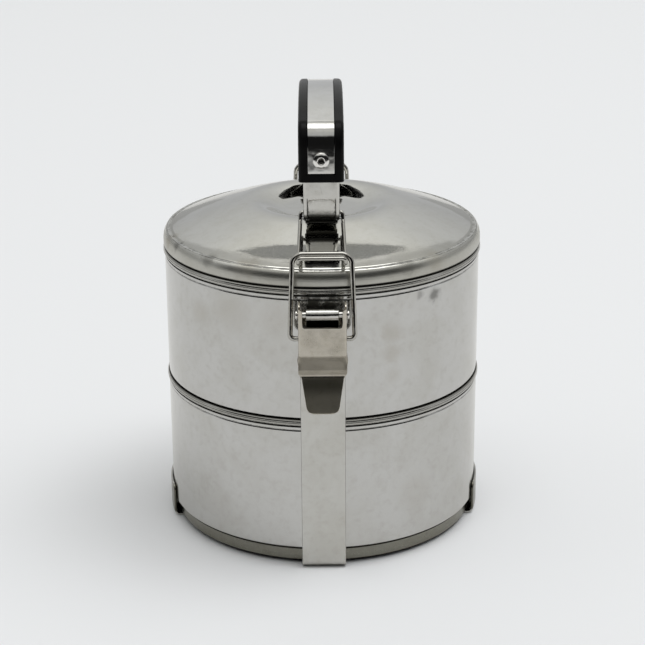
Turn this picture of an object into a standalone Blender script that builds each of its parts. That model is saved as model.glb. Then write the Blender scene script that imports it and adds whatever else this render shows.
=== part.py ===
"""Tiffin carrier: two nesting steel bowls and a domed lid in a strap frame.

The frame is one flat strap running down the front, under the base and up the
back, with a cross strip under the base whose ends turn up as curved side ears.
At the top of each end of the strap an over-centre lever turns on a pin.  Each
lever carries a wire bail, and the bail's bar sits in the upturned end of a
wire hook link that hangs from the carrying handle's steel bracket.

Frame: +Z up, origin on the ground under the centre of the carrier, -Y is the
front.  Sizes are millimetres and are turned into metres on creation.  An OUT
size is a distance from the carrier's axis towards the front, so y = -OUT.
"""

import math

import bmesh
import bpy
from mathutils import Matrix, Vector

MM = 0.001
SIDES = (-1, 1)            # left and right, or front and back

# ------------------------------------------------------------------ sizes
TURN_STEPS = 60            # facets round a bowl or the lid
RING_STEPS = 120           # facets round the ring the side ears are cut from
RIVET_STEPS = 20

# bowls
BODY_R = 70.0              # outside of the straight wall
RIM_R = 70.7               # outside of the rolled rim
RIM_H = 2.95               # height of the rolled rim
WALL = 0.8                 # sheet thickness
RING_DROP = 6.9            # height of the stepped base that nests in the bowl below
STACK_GAP = 0.3            # play between stacked pieces
LOWER_BASE_Z = 1.1         # underside of the lower bowl's base ring
LOWER_RIM_Z = 68.25
UPPER_BASE_Z = LOWER_RIM_Z + STACK_GAP - RING_DROP
UPPER_RIM_Z = 126.9

# lid
LID_R = 70.5
LID_Z = UPPER_RIM_Z + STACK_GAP    # underside of the rolled edge
SKIRT_R = 68.6             # outside of the skirt inside the upper bowl
SKIRT_Z = 121.2            # bottom of the skirt
DOME_R = 69.0              # radius at which the dome has fallen to DOME_BASE_Z
DOME_BASE_Z = 133.8
DOME_RISE = 17.2
DOME_POWER = 1.635
DISH_R = 34.5              # crest round the sunk middle
DISH_Z = 142.7             # floor of the sunk middle

# strap
STRAP_T = 0.8
STRAP_HALF = 9.45
STRAP_MID = 72.3 - STRAP_T / 2     # middle of the sheet in the upright runs
STRAP_BEND_R = 3.0
TONGUE_HALF = 6.75         # the narrowed ends that roll into knuckles
SHOULDER_Z = 109.1         # where the strap narrows
KNUCKLE_FOOT_Z = 114.6     # where the tongue leaves the upright
KNUCKLE_R = 2.0            # centre line of the rolled knuckle

# cross strip
CROSS_HALF = 18.8
CROSS_RAISED_Z = 1.5       # middle of the sheet in the raised centre
EAR_TOP_Z = 15.0
EAR_R = 71.1               # outer face of the ears
EAR_BEND_R = 2.4

# hinge pins
PIN_OUT, PIN_Z, PIN_R = 76.3, 117.8, 1.3
PIN_HALF = 11.2
PIN_HEAD_R, PIN_HEAD_T = 1.9, 0.9
PIN_PLAY = 0.1

# levers
LEVER_HALF = 10.0
LEVER_T = 0.9
LEVER_TOP_Z = 121.3
FACE_OUT = 80.5            # outer face, upper part
STEP_OUT = 81.8            # outer face, stepped part
STEP_Z = 92.4              # bottom of the stepped part, where the tail starts
CHEEK_R = 5.8              # rounding of the side cheeks about the pin
CHEEK_INSET = 3.1          # from the pin's axis in to the cheeks' inner edge
CHEEK_EDGE = 80.3          # cheeks' outer edge, inside the face sheet

# bails and hook links
WIRE_PLAY = 0.12
BAIL_R = 0.95
BAIL_OUT, BAIL_Z = 75.9, 107.2             # ends, held in the lever
BAIL_BAR_OUT, BAIL_BAR_Z = 72.0, 142.5     # bar, in the hook link
HOOK_R = 0.8
HOOK_OUT, HOOK_Z = 40.5, 151.1             # ends, held in the bracket
HOOK_BAR_OUT, HOOK_BAR_Z = 75.0, 141.5     # bar across the upturned end
HOOK_HALF = 9.6

# handle
GRIP_HALF = 9.55
COVER_HALF = 9.0
BAND_HALF = 5.55
BRACKET_HALF = 7.6
RAIL_T = 0.9
GRIP_END_Z = 165.6
GRIP_END_Y = 46.0          # the path of the grip at its ends
GRIP_RAISE = 1.0           # raised edges above the path
GRIP_TOP_Z = 195.3
CROWN_FALL, CROWN_Y = 5.2, 38.0    # the top falls this much at this distance from centre
RIVET_Y, RIVET_Z = 46.08, 175.1
RIVET_HOLE_R = 2.2

ROD_CUT = 12               # half length of the rods that cut holes through a piece

STEEL = dict(name="satin_steel", colour=(0.56, 0.555, 0.54, 1.0), metallic=1.0, roughness=0.28)
WIRE = dict(name="bright_wire", colour=(0.60, 0.595, 0.58, 1.0), metallic=1.0, roughness=0.2)
BLACK = dict(name="black_plastic", colour=(0.012, 0.012, 0.013, 1.0), metallic=0.0, roughness=0.35)

# ------------------------------------------------------------------ scene
for old in list(bpy.data.objects):
    bpy.data.objects.remove(old, do_unlink=True)

parts = bpy.data.collections.new("tiffin_carrier")
helpers = bpy.data.collections.new("cutters")
bpy.context.scene.collection.children.link(parts)
bpy.context.scene.collection.children.link(helpers)


def material(look, piece):
    mat = bpy.data.materials.new(look["name"] + "_" + piece)
    mat.use_nodes = True
    bsdf = mat.node_tree.nodes["Principled BSDF"]
    bsdf.inputs["Base Color"].default_value = look["colour"]
    bsdf.inputs["Metallic"].default_value = look["metallic"]
    bsdf.inputs["Roughness"].default_value = look["roughness"]
    mat.diffuse_color = look["colour"]
    return mat


def add_part(name, mesh, look, location, turn=0.0):
    """Link a mesh to the carrier as an object with its own material."""
    mesh.name = name
    mesh.materials.clear()
    mesh.materials.append(material(look, name))
    obj = bpy.data.objects.new(name, mesh)
    obj.location = location
    obj.rotation_euler = (0, 0, turn)
    parts.objects.link(obj)
    return obj


def place(name, mesh, look, at=(0, 0, 0)):
    """Add a mesh made in place, giving it an origin at `at`."""
    origin = Vector(at) * MM
    mesh.transform(Matrix.Translation(-origin))
    mesh.shade_smooth()
    mesh.set_sharp_from_angle(angle=math.radians(35))
    return add_part(name, mesh, look, origin)


def place_pair(name, mesh, look, out, z):
    """Place a piece at the front, and the same piece at the back by a half turn about Z."""
    front = place(name + "_front", mesh, look, (0, -out, z))
    half_turn = Matrix.Rotation(math.pi, 4, "Z")
    add_part(name + "_rear", front.data.copy(), look, half_turn @ front.location, math.pi)


# ------------------------------------------------------------------ paths
def span(side, near, far):
    """Low and high ends of a range on one side of zero."""
    return sorted((side * near, side * far))


def mirror(path):
    """A path reflected in its first coordinate and run backwards."""
    return [(-first, *rest) for first, *rest in reversed(path)]


def at_front(path):
    """(out, z) points as (y, z) points at the front."""
    return [(-out, z) for out, z in path]


def arc(centre_x, centre_y, radius, start, end, count):
    """Points along an arc in `count` steps, from start to end degrees."""
    angles = [math.radians(start + (end - start) * i / count) for i in range(count + 1)]
    return [
        (centre_x + radius * math.cos(angle), centre_y + radius * math.sin(angle))
        for angle in angles
    ]


def rounded(points, radii, count=4):
    """A polyline in 2-D or 3-D with each inner corner replaced by an arc of its radius."""
    points = [Vector(point) for point in points]
    path = [points[0]]
    for before, corner, after, radius in zip(points, points[1:], points[2:], radii):
        back, ahead = (before - corner).normalized(), (after - corner).normalized()
        half = back.angle(ahead) / 2
        cut = radius / math.tan(half)
        centre = corner + (back + ahead).normalized() * (radius / math.sin(half))
        first = corner + back * cut - centre
        last = corner + ahead * cut - centre
        sweep = first.angle(last)
        for i in range(count + 1):
            t = i / count
            first_share = math.sin((1 - t) * sweep) / math.sin(sweep)
            last_share = math.sin(t * sweep) / math.sin(sweep)
            path.append(centre + first * first_share + last * last_share)
    path.append(points[-1])
    return [tuple(point) for point in path]


def offset(path, distance):
    """A 2-D polyline moved sideways, to the left of its direction."""
    points = [Vector(point) for point in path]
    moved = []
    for i, point in enumerate(points):
        before = (point - points[i - 1]).normalized() if i else None
        after = (points[i + 1] - point).normalized() if i < len(points) - 1 else None
        along = before or after
        stretch = 1.0
        if before and after:
            along = (before + after).normalized()
            stretch = 1.0 / max(0.3, along.dot(before))    # mitre, limited at sharp corners
        left = Vector((-along.y, along.x))
        moved.append(tuple(point + left * distance * stretch))
    return moved


def band(path, left, right):
    """The closed outline between two offsets of a path."""
    return offset(path, left) + offset(path, right)[::-1]


# ------------------------------------------------------------------ makers
# outline (u, v) and thickness w onto world axes
AXES = {
    "YZ": Matrix(((0, 0, 1, 0), (1, 0, 0, 0), (0, 1, 0, 0), (0, 0, 0, 1))),
    "XZ": Matrix(((1, 0, 0, 0), (0, 0, -1, 0), (0, 1, 0, 0), (0, 0, 0, 1))),
}


def evaluated_mesh(obj):
    bpy.context.view_layer.update()
    graph = bpy.context.evaluated_depsgraph_get()
    return bpy.data.meshes.new_from_object(obj.evaluated_get(graph), depsgraph=graph)


def finish(mesh):
    """Weld a converted mesh and point its faces out."""
    bm = bmesh.new()
    bm.from_mesh(mesh)
    bmesh.ops.remove_doubles(bm, verts=bm.verts, dist=0.00001)
    bmesh.ops.recalc_face_normals(bm, faces=bm.faces)
    bm.to_mesh(mesh)
    bm.free()
    return mesh


def curve_mesh(curve, points, closed):
    """The mesh of a curve given one straight-sided spline through 3-D points."""
    spline = curve.splines.new("POLY")
    spline.points.add(len(points) - 1)
    for point, (x, y, z) in zip(spline.points, points):
        point.co = (x * MM, y * MM, z * MM, 1)
    spline.use_cyclic_u = closed
    obj = bpy.data.objects.new("curve", curve)
    bpy.context.scene.collection.objects.link(obj)
    mesh = evaluated_mesh(obj)
    bpy.data.objects.remove(obj, do_unlink=True)
    return mesh


def slab(outline, low, high, plane="YZ"):
    """A mesh of a flat outline given thickness: a filled 2-D curve, extruded."""
    curve = bpy.data.curves.new("outline", "CURVE")
    curve.dimensions = "2D"
    curve.fill_mode = "BOTH"
    curve.extrude = (high - low) / 2 * MM
    mesh = curve_mesh(curve, [(u, v, 0) for u, v in outline], closed=True)
    mesh.transform(Matrix.Translation((0, 0, (low + high) / 2 * MM)))
    mesh.transform(AXES[plane])
    return finish(mesh)


def wire(half, radius):
    """A mesh of a round wire: half its path, ending on x = 0, and the mirror image."""
    curve = bpy.data.curves.new("wire", "CURVE")
    curve.dimensions = "3D"
    curve.bevel_depth = radius * MM
    curve.bevel_resolution = 2
    curve.use_fill_caps = True
    curve.twist_mode = "MINIMUM"
    return finish(curve_mesh(curve, half + mirror(half[:-1]), closed=False))


def take_active():
    """The active object's mesh in world space; the object goes."""
    obj = bpy.context.object
    bpy.context.view_layer.update()
    mesh = obj.data.copy()
    mesh.transform(obj.matrix_world)
    bpy.data.objects.remove(obj, do_unlink=True)
    return mesh


def cylinder(radius, length, centre, rotation, sides):
    bpy.ops.mesh.primitive_cylinder_add(
        vertices=sides, radius=radius * MM, depth=length * MM,
        location=[c * MM for c in centre], rotation=rotation,
    )
    return take_active()


def rod(radius, low, high, out, z, sides=24):
    """A mesh of a round bar along X."""
    centre = ((low + high) / 2, -out, z)
    return cylinder(radius, high - low, centre, (0, math.pi / 2, 0), sides)


def rivet_holes(near, far):
    """Cutters along Y for the rivet holes, front and back."""
    holes = []
    for side in SIDES:
        low, high = span(side, near, far)
        centre = (0, (low + high) / 2, RIVET_Z)
        holes.append(cylinder(RIVET_HOLE_R, high - low, centre, (math.pi / 2, 0, 0), 24))
    return holes


def block(x_span, y_span, z_span):
    """A mesh of a box from its (low, high) span on each axis."""
    spans = (x_span, y_span, z_span)
    bpy.ops.mesh.primitive_cube_add(
        size=1.0, location=[(low + high) / 2 * MM for low, high in spans]
    )
    bpy.context.object.scale = [(high - low) * MM for low, high in spans]
    return take_active()


def combined(base, add=(), cut=()):
    """A mesh joined with some meshes and cut by others, by Boolean modifiers."""
    body = bpy.data.objects.new("body", base)
    bpy.context.scene.collection.objects.link(body)
    for operation, meshes in (("UNION", add), ("DIFFERENCE", cut)):
        for tool_mesh in meshes:
            tool = bpy.data.objects.new("tool", tool_mesh)
            helpers.objects.link(tool)
            tool.hide_render = True
            tool.display_type = "WIRE"
            boolean = body.modifiers.new(operation.lower(), "BOOLEAN")
            boolean.operation = operation
            boolean.solver = "EXACT"
            boolean.object = tool
    mesh = evaluated_mesh(body)
    bpy.data.objects.remove(body, do_unlink=True)
    return finish(mesh)


def turned(name, profile, look, steps=TURN_STEPS, closed=False):
    """A turned piece: an (r, z) profile in the XZ plane with a Screw modifier about Z."""
    mesh = bpy.data.meshes.new(name)
    bm = bmesh.new()
    verts = [bm.verts.new((r * MM, 0, z * MM)) for r, z in profile]
    for start, end in zip(verts, verts[1:]):
        bm.edges.new((start, end))
    if closed:
        bm.edges.new((verts[-1], verts[0]))
    bm.to_mesh(mesh)
    bm.free()
    obj = add_part(name, mesh, look, (0, 0, 0))
    screw = obj.modifiers.new("turn", "SCREW")
    screw.axis = "Z"
    screw.angle = 2 * math.pi
    screw.steps = steps
    screw.render_steps = steps
    screw.use_merge_vertices = True
    screw.merge_threshold = 0.00001
    screw.use_smooth_shade = True
    return obj


# ------------------------------------------------------------------ bowls and lid
def bowl(base_z, rim_z):
    """Half section (r, z) from the axis along the inside, over the rim and down the outside."""
    wall_z = base_z + RING_DROP       # foot of the straight wall
    inner_r = BODY_R - WALL
    inside = [
        (0, base_z + 3.3), (64.8, base_z + 3.3), (66.4, base_z + 1.05), (67.0, base_z + 0.95),
        (67.35, wall_z - 3.0), (67.6, wall_z + 0.4), (68.5, wall_z + 1.1),
        (inner_r, wall_z + 2.2), (inner_r, rim_z - 0.8), (inner_r + 0.35, rim_z),
    ]
    rim = [
        (RIM_R - 0.3, rim_z - 0.1), (RIM_R, rim_z - 0.6), (RIM_R, rim_z - RIM_H + 0.6),
        (RIM_R - 0.25, rim_z - RIM_H + 0.15), (BODY_R, rim_z - RIM_H),
    ]
    outside = [
        (BODY_R, wall_z + 1.5), (BODY_R - 0.45, wall_z + 0.45), (68.6, wall_z),
        (68.3, base_z + 3.4), (68.05, base_z + 0.8), (67.5, base_z), (66.6, base_z),
        (65.6, base_z + 0.8), (64.4, base_z + 2.5), (0, base_z + 2.5),
    ]
    return inside + rim + outside


def dome(r):
    """Height of the lid's domed top at radius r."""
    return DOME_BASE_Z + DOME_RISE * (1 - (r / DOME_R) ** DOME_POWER)


def lid():
    """Half section (r, z) from the axis over the top, round the edge and back underneath."""
    # sunk middle: r, top z, how far in the matching underside point lies
    dish = [
        (0, DISH_Z, 0), (24.0, DISH_Z, 0), (27.5, DISH_Z + 0.45, 0.1),
        (31.5, dome(31.5) - 1.5, 0.3), (DISH_R, dome(DISH_R) - 0.12, 0.3),
    ]
    dome_radii = [37.5, 44.0, 52.0, 60.0, 65.0, 67.2]
    top = [(r, z) for r, z, inset in dish] + [(r, dome(r)) for r in dome_radii]
    edge = [
        (68.3, 134.55), (69.5, 133.8), (70.25, 132.2), (LID_R, 130.2), (LID_R, 128.0),
        (70.2, LID_Z), (68.7, LID_Z), (SKIRT_R, SKIRT_Z),
    ]
    skirt_inner_r = SKIRT_R - WALL
    under = [(skirt_inner_r, SKIRT_Z), (skirt_inner_r, 130.5), (66.3, dome(66.3) - 1.3)]
    under += [(r, dome(r) - WALL) for r in dome_radii[3::-1]]
    under += [(r - inset, z - WALL) for r, z, inset in reversed(dish)]
    return top + edge + under


turned("lower_bowl", bowl(LOWER_BASE_Z, LOWER_RIM_Z), STEEL)
turned("upper_bowl", bowl(UPPER_BASE_Z, UPPER_RIM_Z), STEEL)
turned("lid", lid(), STEEL)


# ------------------------------------------------------------------ strap frame
def frame_strap():
    rear_end = [(STRAP_MID, KNUCKLE_FOOT_Z)] + arc(PIN_OUT, PIN_Z, KNUCKLE_R, 150, -120, 12)
    rear_half = [(STRAP_MID, STRAP_T / 2), (STRAP_MID, SHOULDER_Z)]
    loop = rounded(mirror(rear_half) + rear_half, [STRAP_BEND_R, STRAP_BEND_R])
    centre_line = mirror(rear_end) + loop + rear_end
    strap = slab(band(centre_line, STRAP_T / 2, -STRAP_T / 2), -STRAP_HALF, STRAP_HALF)
    notches = [
        block(span(x_side, TONGUE_HALF, 12.25), span(y_side, 68, 84), (SHOULDER_Z, 130))
        for x_side in SIDES for y_side in SIDES
    ]
    return combined(strap, cut=notches)


def side_ears():
    """A turned ring of L section, trimmed to the part over the strip's width."""
    flange_r = EAR_R - 12.0
    outer = rounded([(flange_r, 0.0), (EAR_R, 0.0), (EAR_R, EAR_TOP_Z)], [EAR_BEND_R], 5)
    inner_r = EAR_R - STRAP_T
    inner = rounded(
        [(inner_r, EAR_TOP_Z), (inner_r, STRAP_T), (flange_r, STRAP_T)],
        [EAR_BEND_R - STRAP_T], 5,
    )
    ring = turned("ring", outer + inner, STEEL, steps=RING_STEPS, closed=True)
    ears = evaluated_mesh(ring)
    bpy.data.objects.remove(ring, do_unlink=True)
    trims = [block((-90, 90), span(side, CROSS_HALF, 90), (-5, 30)) for side in SIDES]
    return combined(finish(ears), cut=trims)


def base_cross_strip():
    """A strip flat under the base, its ends turned up into ears curved round the wall."""
    half = [
        (0.0, CROSS_RAISED_Z), (50.0, CROSS_RAISED_Z),
        (56.0, STRAP_T / 2), (EAR_R - 6.0, STRAP_T / 2),
    ]
    outline = band(mirror(half[1:]) + half, STRAP_T / 2, -STRAP_T / 2)
    flat = slab(outline, -CROSS_HALF, CROSS_HALF, "XZ")
    return combined(flat, add=[side_ears()])


def hinge_pin():
    shank = rod(PIN_R, -PIN_HALF, PIN_HALF, PIN_OUT, PIN_Z)
    heads = [
        rod(PIN_HEAD_R, *span(side, PIN_HALF - PIN_HEAD_T, PIN_HALF), PIN_OUT, PIN_Z)
        for side in SIDES
    ]
    return combined(shank, add=heads)


place("frame_strap", frame_strap(), STEEL)
place("base_cross_strip", base_cross_strip(), STEEL)
place_pair("hinge_pin", hinge_pin(), WIRE, PIN_OUT, PIN_Z)


# ------------------------------------------------------------------ levers and wires
def lever():
    half_t = LEVER_T / 2
    # middle of the face sheet, top to tail: out, z
    face = [
        (FACE_OUT - half_t, LEVER_TOP_Z), (FACE_OUT - half_t, 99.5), (STEP_OUT - half_t, 95.4),
        (STEP_OUT - half_t, STEP_Z), (86.0 - half_t, 77.6),
    ]
    web = slab(band(at_front(face), half_t, -half_t), -LEVER_HALF, LEVER_HALF)

    # side cheeks, up the outer edge, round the pin and down the inner edge: out, z
    start = math.degrees(math.atan2(LEVER_TOP_Z - PIN_Z, CHEEK_EDGE - PIN_OUT)) + 4
    end = math.degrees(math.acos(-CHEEK_INSET / CHEEK_R))
    cheek = [(CHEEK_EDGE, 98.0), (CHEEK_EDGE, LEVER_TOP_Z)]
    cheek += arc(PIN_OUT, PIN_Z, CHEEK_R, start, end, 6)
    cheek += [(PIN_OUT - CHEEK_INSET, 103.0), (76.5, 98.6), (79.0, 98.0)]
    cheeks = [
        slab(at_front(cheek), *span(side, LEVER_HALF - LEVER_T, LEVER_HALF)) for side in SIDES
    ]

    # notch open at the top of the face: x, z
    window = rounded([(-8.2, 126.0), (-8.2, 113.5), (8.2, 113.5), (8.2, 126.0)], [2.3, 2.3], 5)
    # waste beside the narrowing tail: x, z
    waste = [(8.8, STEP_Z), (6.8, 79.2), (5.2, 77.0), (5.2, 70.0), (14, 70.0), (14, STEP_Z)]
    cuts = [slab(window, 76.0, 84.0, "XZ")]
    cuts += [slab([(side * x, z) for x, z in waste], 76.0, 92.0, "XZ") for side in SIDES]
    cuts.append(rod(PIN_R + PIN_PLAY, -ROD_CUT, ROD_CUT, PIN_OUT, PIN_Z))
    cuts.append(rod(BAIL_R + WIRE_PLAY, -ROD_CUT, ROD_CUT, BAIL_OUT, BAIL_Z, 16))
    return combined(web, add=cheeks, cut=cuts)


def bail():
    half = rounded(
        [
            (8.3, -BAIL_OUT, BAIL_Z), (13.4, -BAIL_OUT, BAIL_Z),
            (12.1, -BAIL_BAR_OUT, BAIL_BAR_Z), (0.0, -BAIL_BAR_OUT, BAIL_BAR_Z),
        ],
        [1.8, 4.5],
    )
    return wire(half, BAIL_R)


def hook_link():
    arm = rounded(
        [
            (5.9, -HOOK_OUT, HOOK_Z), (8.9, -HOOK_OUT, HOOK_Z), (9.0, -41.7, 147.4),
            (HOOK_HALF, -71.5, 138.85),
        ],
        [1.2, 1.5], 3,
    )
    # the cup that turns up at the outer end takes the place of the arm's last point
    cup = [(HOOK_HALF, -out, z) for out, z in arc(72.35, 141.3, 2.6, 256, 322, 4)]
    bar = [
        (8.9, -74.85, 140.6), (7.7, -74.98, 141.3),
        (6.2, -HOOK_BAR_OUT, HOOK_BAR_Z), (0.0, -HOOK_BAR_OUT, HOOK_BAR_Z),
    ]
    return wire(arm[:-1] + cup + bar, HOOK_R)


place_pair("lever", lever(), STEEL, PIN_OUT, PIN_Z)
place_pair("bail", bail(), WIRE, BAIL_OUT, BAIL_Z)
place_pair("hook_link", hook_link(), WIRE, HOOK_OUT, HOOK_Z)


# ------------------------------------------------------------------ handle
def crown(y):
    """Height of the grip's path across the top."""
    return GRIP_TOP_Z - CROWN_FALL * (y / CROWN_Y) ** 2


def grip_path():
    """(y, z) from front to back over the top, so its left side is the outer side."""
    front = rounded(
        [(-GRIP_END_Y, GRIP_END_Z), (-46.2, 188.4), (-34.0, crown(34.0))], [8.2], 6
    )
    front += [(y, crown(y)) for y in (-26.0, -17.0, -8.5)]
    return front + [(0.0, crown(0.0))] + mirror(front)


ARCH = grip_path()


def handle_grip():
    walls = [slab(band(ARCH, GRIP_RAISE, -8.2), *span(side, 7.85, GRIP_HALF)) for side in SIDES]
    cover = slab(band(ARCH, 0.0, -1.8), -COVER_HALF, COVER_HALF)
    edges = [slab(band(ARCH, GRIP_RAISE, -1.5), *span(side, 5.8, 8.5)) for side in SIDES]
    ends = [
        block(
            (-9.2, 9.2), span(side, 44.4, GRIP_END_Y + GRIP_RAISE),
            (GRIP_END_Z, GRIP_END_Z + 3.5),
        )
        for side in SIDES
    ]
    return combined(cover, add=walls + edges + ends, cut=rivet_holes(41.5, 49.5))


def handle_band():
    """The steel inlay between the grip's raised edges, ending above its end blocks."""
    rear_end = (GRIP_END_Y + 0.03, GRIP_END_Z + 3.75)
    path = mirror([rear_end]) + ARCH[1:-1] + [rear_end]
    return combined(
        slab(band(path, 0.8, 0.15), -BAND_HALF, BAND_HALF), cut=rivet_holes(43.5, 49.5)
    )


def handle_bracket():
    """A sheet web under the grip with a rail along each side and a turned-in foot at each end."""
    under_arch = offset(ARCH, -2.6)
    # front foot from its inner tip up to the leg: y, z
    foot = [
        (-36.0, 146.15), (-38.8, 146.3), (-40.9, 147.2), (-42.2, 149.3),
        (-42.9, 153.0), (-43.4, 158.1),
    ]
    path = foot + under_arch + mirror(foot)
    web = slab(band(path, 0.5, -0.5), -BRACKET_HALF, BRACKET_HALF)

    heel = foot[2:]
    rail_outer = offset(heel + under_arch + mirror(heel), 0.2)
    # inner edge of the rear leg, going up: y, z
    leg_inner = [(38.6, 148.6), (37.2, 151.5), (37.8, 158.1)]
    rail = rail_outer + leg_inner + offset(under_arch, -4.4)[::-1] + mirror(leg_inner)
    rails = [slab(rail, *span(side, BRACKET_HALF - RAIL_T, BRACKET_HALF)) for side in SIDES]

    cuts = rivet_holes(40.9, 45.9)
    cuts += [
        rod(HOOK_R + WIRE_PLAY, -ROD_CUT, ROD_CUT, side * HOOK_OUT, HOOK_Z, 16)
        for side in SIDES
    ]
    return combined(web, add=rails, cut=cuts)


for name, build, look in (
    ("handle_grip", handle_grip, BLACK),
    ("handle_band", handle_band, STEEL),
    ("handle_bracket", handle_bracket, STEEL),
):
    place(name, build(), look, (0, 0, GRIP_END_Z))

# tubular rivets: head outside the inlay, flare inside the bracket; r, distance outward
RIVET = [
    (1.2, 2.1), (2.6, 2.1), (3.3, 1.75), (3.5, 1.05), (2.0, 1.05), (2.0, -3.35),
    (2.9, -3.35), (2.9, -4.1), (1.2, -4.1),
]
for name, turn in (("rivet_front", 0.0), ("rivet_rear", math.pi)):
    rivet = turned(name, RIVET, WIRE, steps=RIVET_STEPS, closed=True)
    rivet.matrix_world = (
        Matrix.Rotation(turn, 4, "Z")
        @ Matrix.Translation((0, -RIVET_Y * MM, RIVET_Z * MM))
        @ Matrix.Rotation(math.pi / 2, 4, "X")
    )
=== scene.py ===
"""Looks for the tiffin carrier: fine surfaces, materials, studio and camera.

Two stacked bowls and a lid stand in a strap frame, with a lever, a bail and a hook at the
front and rear and an arched handle on top.  Each piece stands for one CAD node.  Sizes are
millimetres in the row frame (+Z up, front towards -Y, the carrier's axis at X = Y = 0).
"out" is the distance from the centre, so a point at the front has y = -out.
"""

import math

import bmesh
import bpy
from mathutils import Matrix, Vector


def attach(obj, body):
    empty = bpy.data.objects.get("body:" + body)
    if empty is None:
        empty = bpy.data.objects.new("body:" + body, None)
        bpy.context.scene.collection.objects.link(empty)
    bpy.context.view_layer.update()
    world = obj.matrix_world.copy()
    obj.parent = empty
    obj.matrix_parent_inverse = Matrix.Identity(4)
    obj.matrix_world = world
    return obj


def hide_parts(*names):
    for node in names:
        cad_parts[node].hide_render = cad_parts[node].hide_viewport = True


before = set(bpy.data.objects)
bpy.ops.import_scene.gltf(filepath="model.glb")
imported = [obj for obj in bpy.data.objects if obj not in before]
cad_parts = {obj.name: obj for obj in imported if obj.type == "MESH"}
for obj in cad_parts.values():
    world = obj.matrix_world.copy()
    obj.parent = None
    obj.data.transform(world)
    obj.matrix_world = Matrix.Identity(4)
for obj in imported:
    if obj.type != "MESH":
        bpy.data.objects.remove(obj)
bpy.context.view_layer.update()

MM = 0.001
HALF_TURN = Matrix.Rotation(math.pi, 4, "Z")

# Places shared by several pieces
LOWER_BASE, LOWER_RIM = 1.1, 68.25
UPPER_BASE, UPPER_RIM = 61.65, 126.9
PIN_OUT, PIN_Z = 76.3, 117.8  # hinge pin between strap and lever
BAIL_OUT, BAIL_Z = 75.9, 107.2  # bail's ends in the lever
HOOK_OUT, HOOK_Z = 40.5, 151.1  # hook's ends in the handle bracket
RIVET_Z = 175.1


# ------------------------------------------------------------------ paths
def spread(start, end, count):
    """Evenly spaced values after start, the last one at end."""
    return [start + (end - start) * k / count for k in range(1, count + 1)]


def flipped(path):
    """A 2-D path mirrored in its first coordinate and run backwards."""
    return [(-across, z) for across, z in path[::-1]]


def fillet(points, radii, steps, closed=False):
    """A polyline, 2-D or 3-D, with its corners rounded by arcs."""
    corners = [Vector(point) for point in points]
    count = len(corners)
    path = [] if closed else [corners[0]]
    rounded = range(count) if closed else range(1, count - 1)
    for i, radius in zip(rounded, radii):
        corner = corners[i]
        back, on = corners[i - 1] - corner, corners[(i + 1) % count] - corner
        back_length, on_length = back.length, on.length
        back, on = back.normalized(), on.normalized()
        half = back.angle(on) / 2
        if radius <= 0 or half > math.radians(89.7):
            path.append(corner)
            continue
        cut = min(radius / math.tan(half), back_length * 0.499, on_length * 0.499)
        radius = cut * math.tan(half)
        centre = corner + (back + on).normalized() * (radius / math.sin(half))
        first, last = corner + back * cut - centre, corner + on * cut - centre
        sweep = first.angle(last)
        for j in range(steps + 1):
            t = j / steps
            path.append(
                centre
                + first * (math.sin((1 - t) * sweep) / math.sin(sweep))
                + last * (math.sin(t * sweep) / math.sin(sweep))
            )
    if not closed:
        path.append(corners[-1])
    return [tuple(point) for point in path]


def spline(points, steps):
    """A Catmull-Rom curve through 2-D points, its slopes weighted by the spacing."""
    knots = [Vector(point) for point in points]
    knots = [knots[0] * 2 - knots[1]] + knots + [knots[-1] * 2 - knots[-2]]
    curve = []
    for i in range(1, len(knots) - 2):
        before, start, end, after = knots[i - 1 : i + 3]
        d0, d1, d2 = (start - before).length, (end - start).length, (after - end).length
        slope_in = ((start - before) / d0 * d1 + (end - start) / d1 * d0) / (d0 + d1)
        slope_out = ((end - start) / d1 * d2 + (after - end) / d2 * d1) / (d1 + d2)
        for j in range(steps):
            t = j / steps
            curve.append(
                start * (2 * t**3 - 3 * t**2 + 1)
                + slope_in * ((t**3 - 2 * t**2 + t) * d1)
                + end * (-2 * t**3 + 3 * t**2)
                + slope_out * ((t**3 - t**2) * d1)
            )
    curve.append(knots[-2])
    return [tuple(point) for point in curve]


def arc(centre_x, centre_y, radius, start, end, steps):
    """Points on a circle between two angles in degrees."""
    angles = [math.radians(start + (end - start) * i / steps) for i in range(steps + 1)]
    return [(centre_x + radius * math.cos(a), centre_y + radius * math.sin(a)) for a in angles]


def headings(points):
    """The direction of each run of a polyline, and the mean direction at each point."""
    runs = [(b - a).normalized() for a, b in zip(points, points[1:])]
    turns = [(a + b).normalized() for a, b in zip(runs, runs[1:])]
    return runs, [runs[0], *turns, runs[-1]]


def normals(path):
    """(left unit normal, mitre stretch) at each point of a 2-D polyline."""
    runs, means = headings([Vector(point) for point in path])
    result = []
    for i, mean in enumerate(means):
        left = Vector((-mean.y, mean.x))
        stretch = 1.0
        if 0 < i < len(runs):
            before = runs[i - 1]
            stretch = 1.0 / max(0.4, left.dot(Vector((-before.y, before.x))))
        result.append((left, stretch))
    return result


def offset(path, distance):
    """A 2-D path moved to its left."""
    return [
        tuple(Vector(point) + left * (distance * stretch))
        for point, (left, stretch) in zip(path, normals(path))
    ]


def smooth_step(start, end, x):
    t = min(1.0, max(0.0, (x - start) / (end - start)))
    return t * t * (3 - 2 * t)


def corner_loss(depth, radius):
    """How far a rounded corner has drawn in, depth past the start of its rounding."""
    t = depth / radius
    return radius * (1 - math.sqrt(max(0.0, 1 - t * t)))


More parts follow.
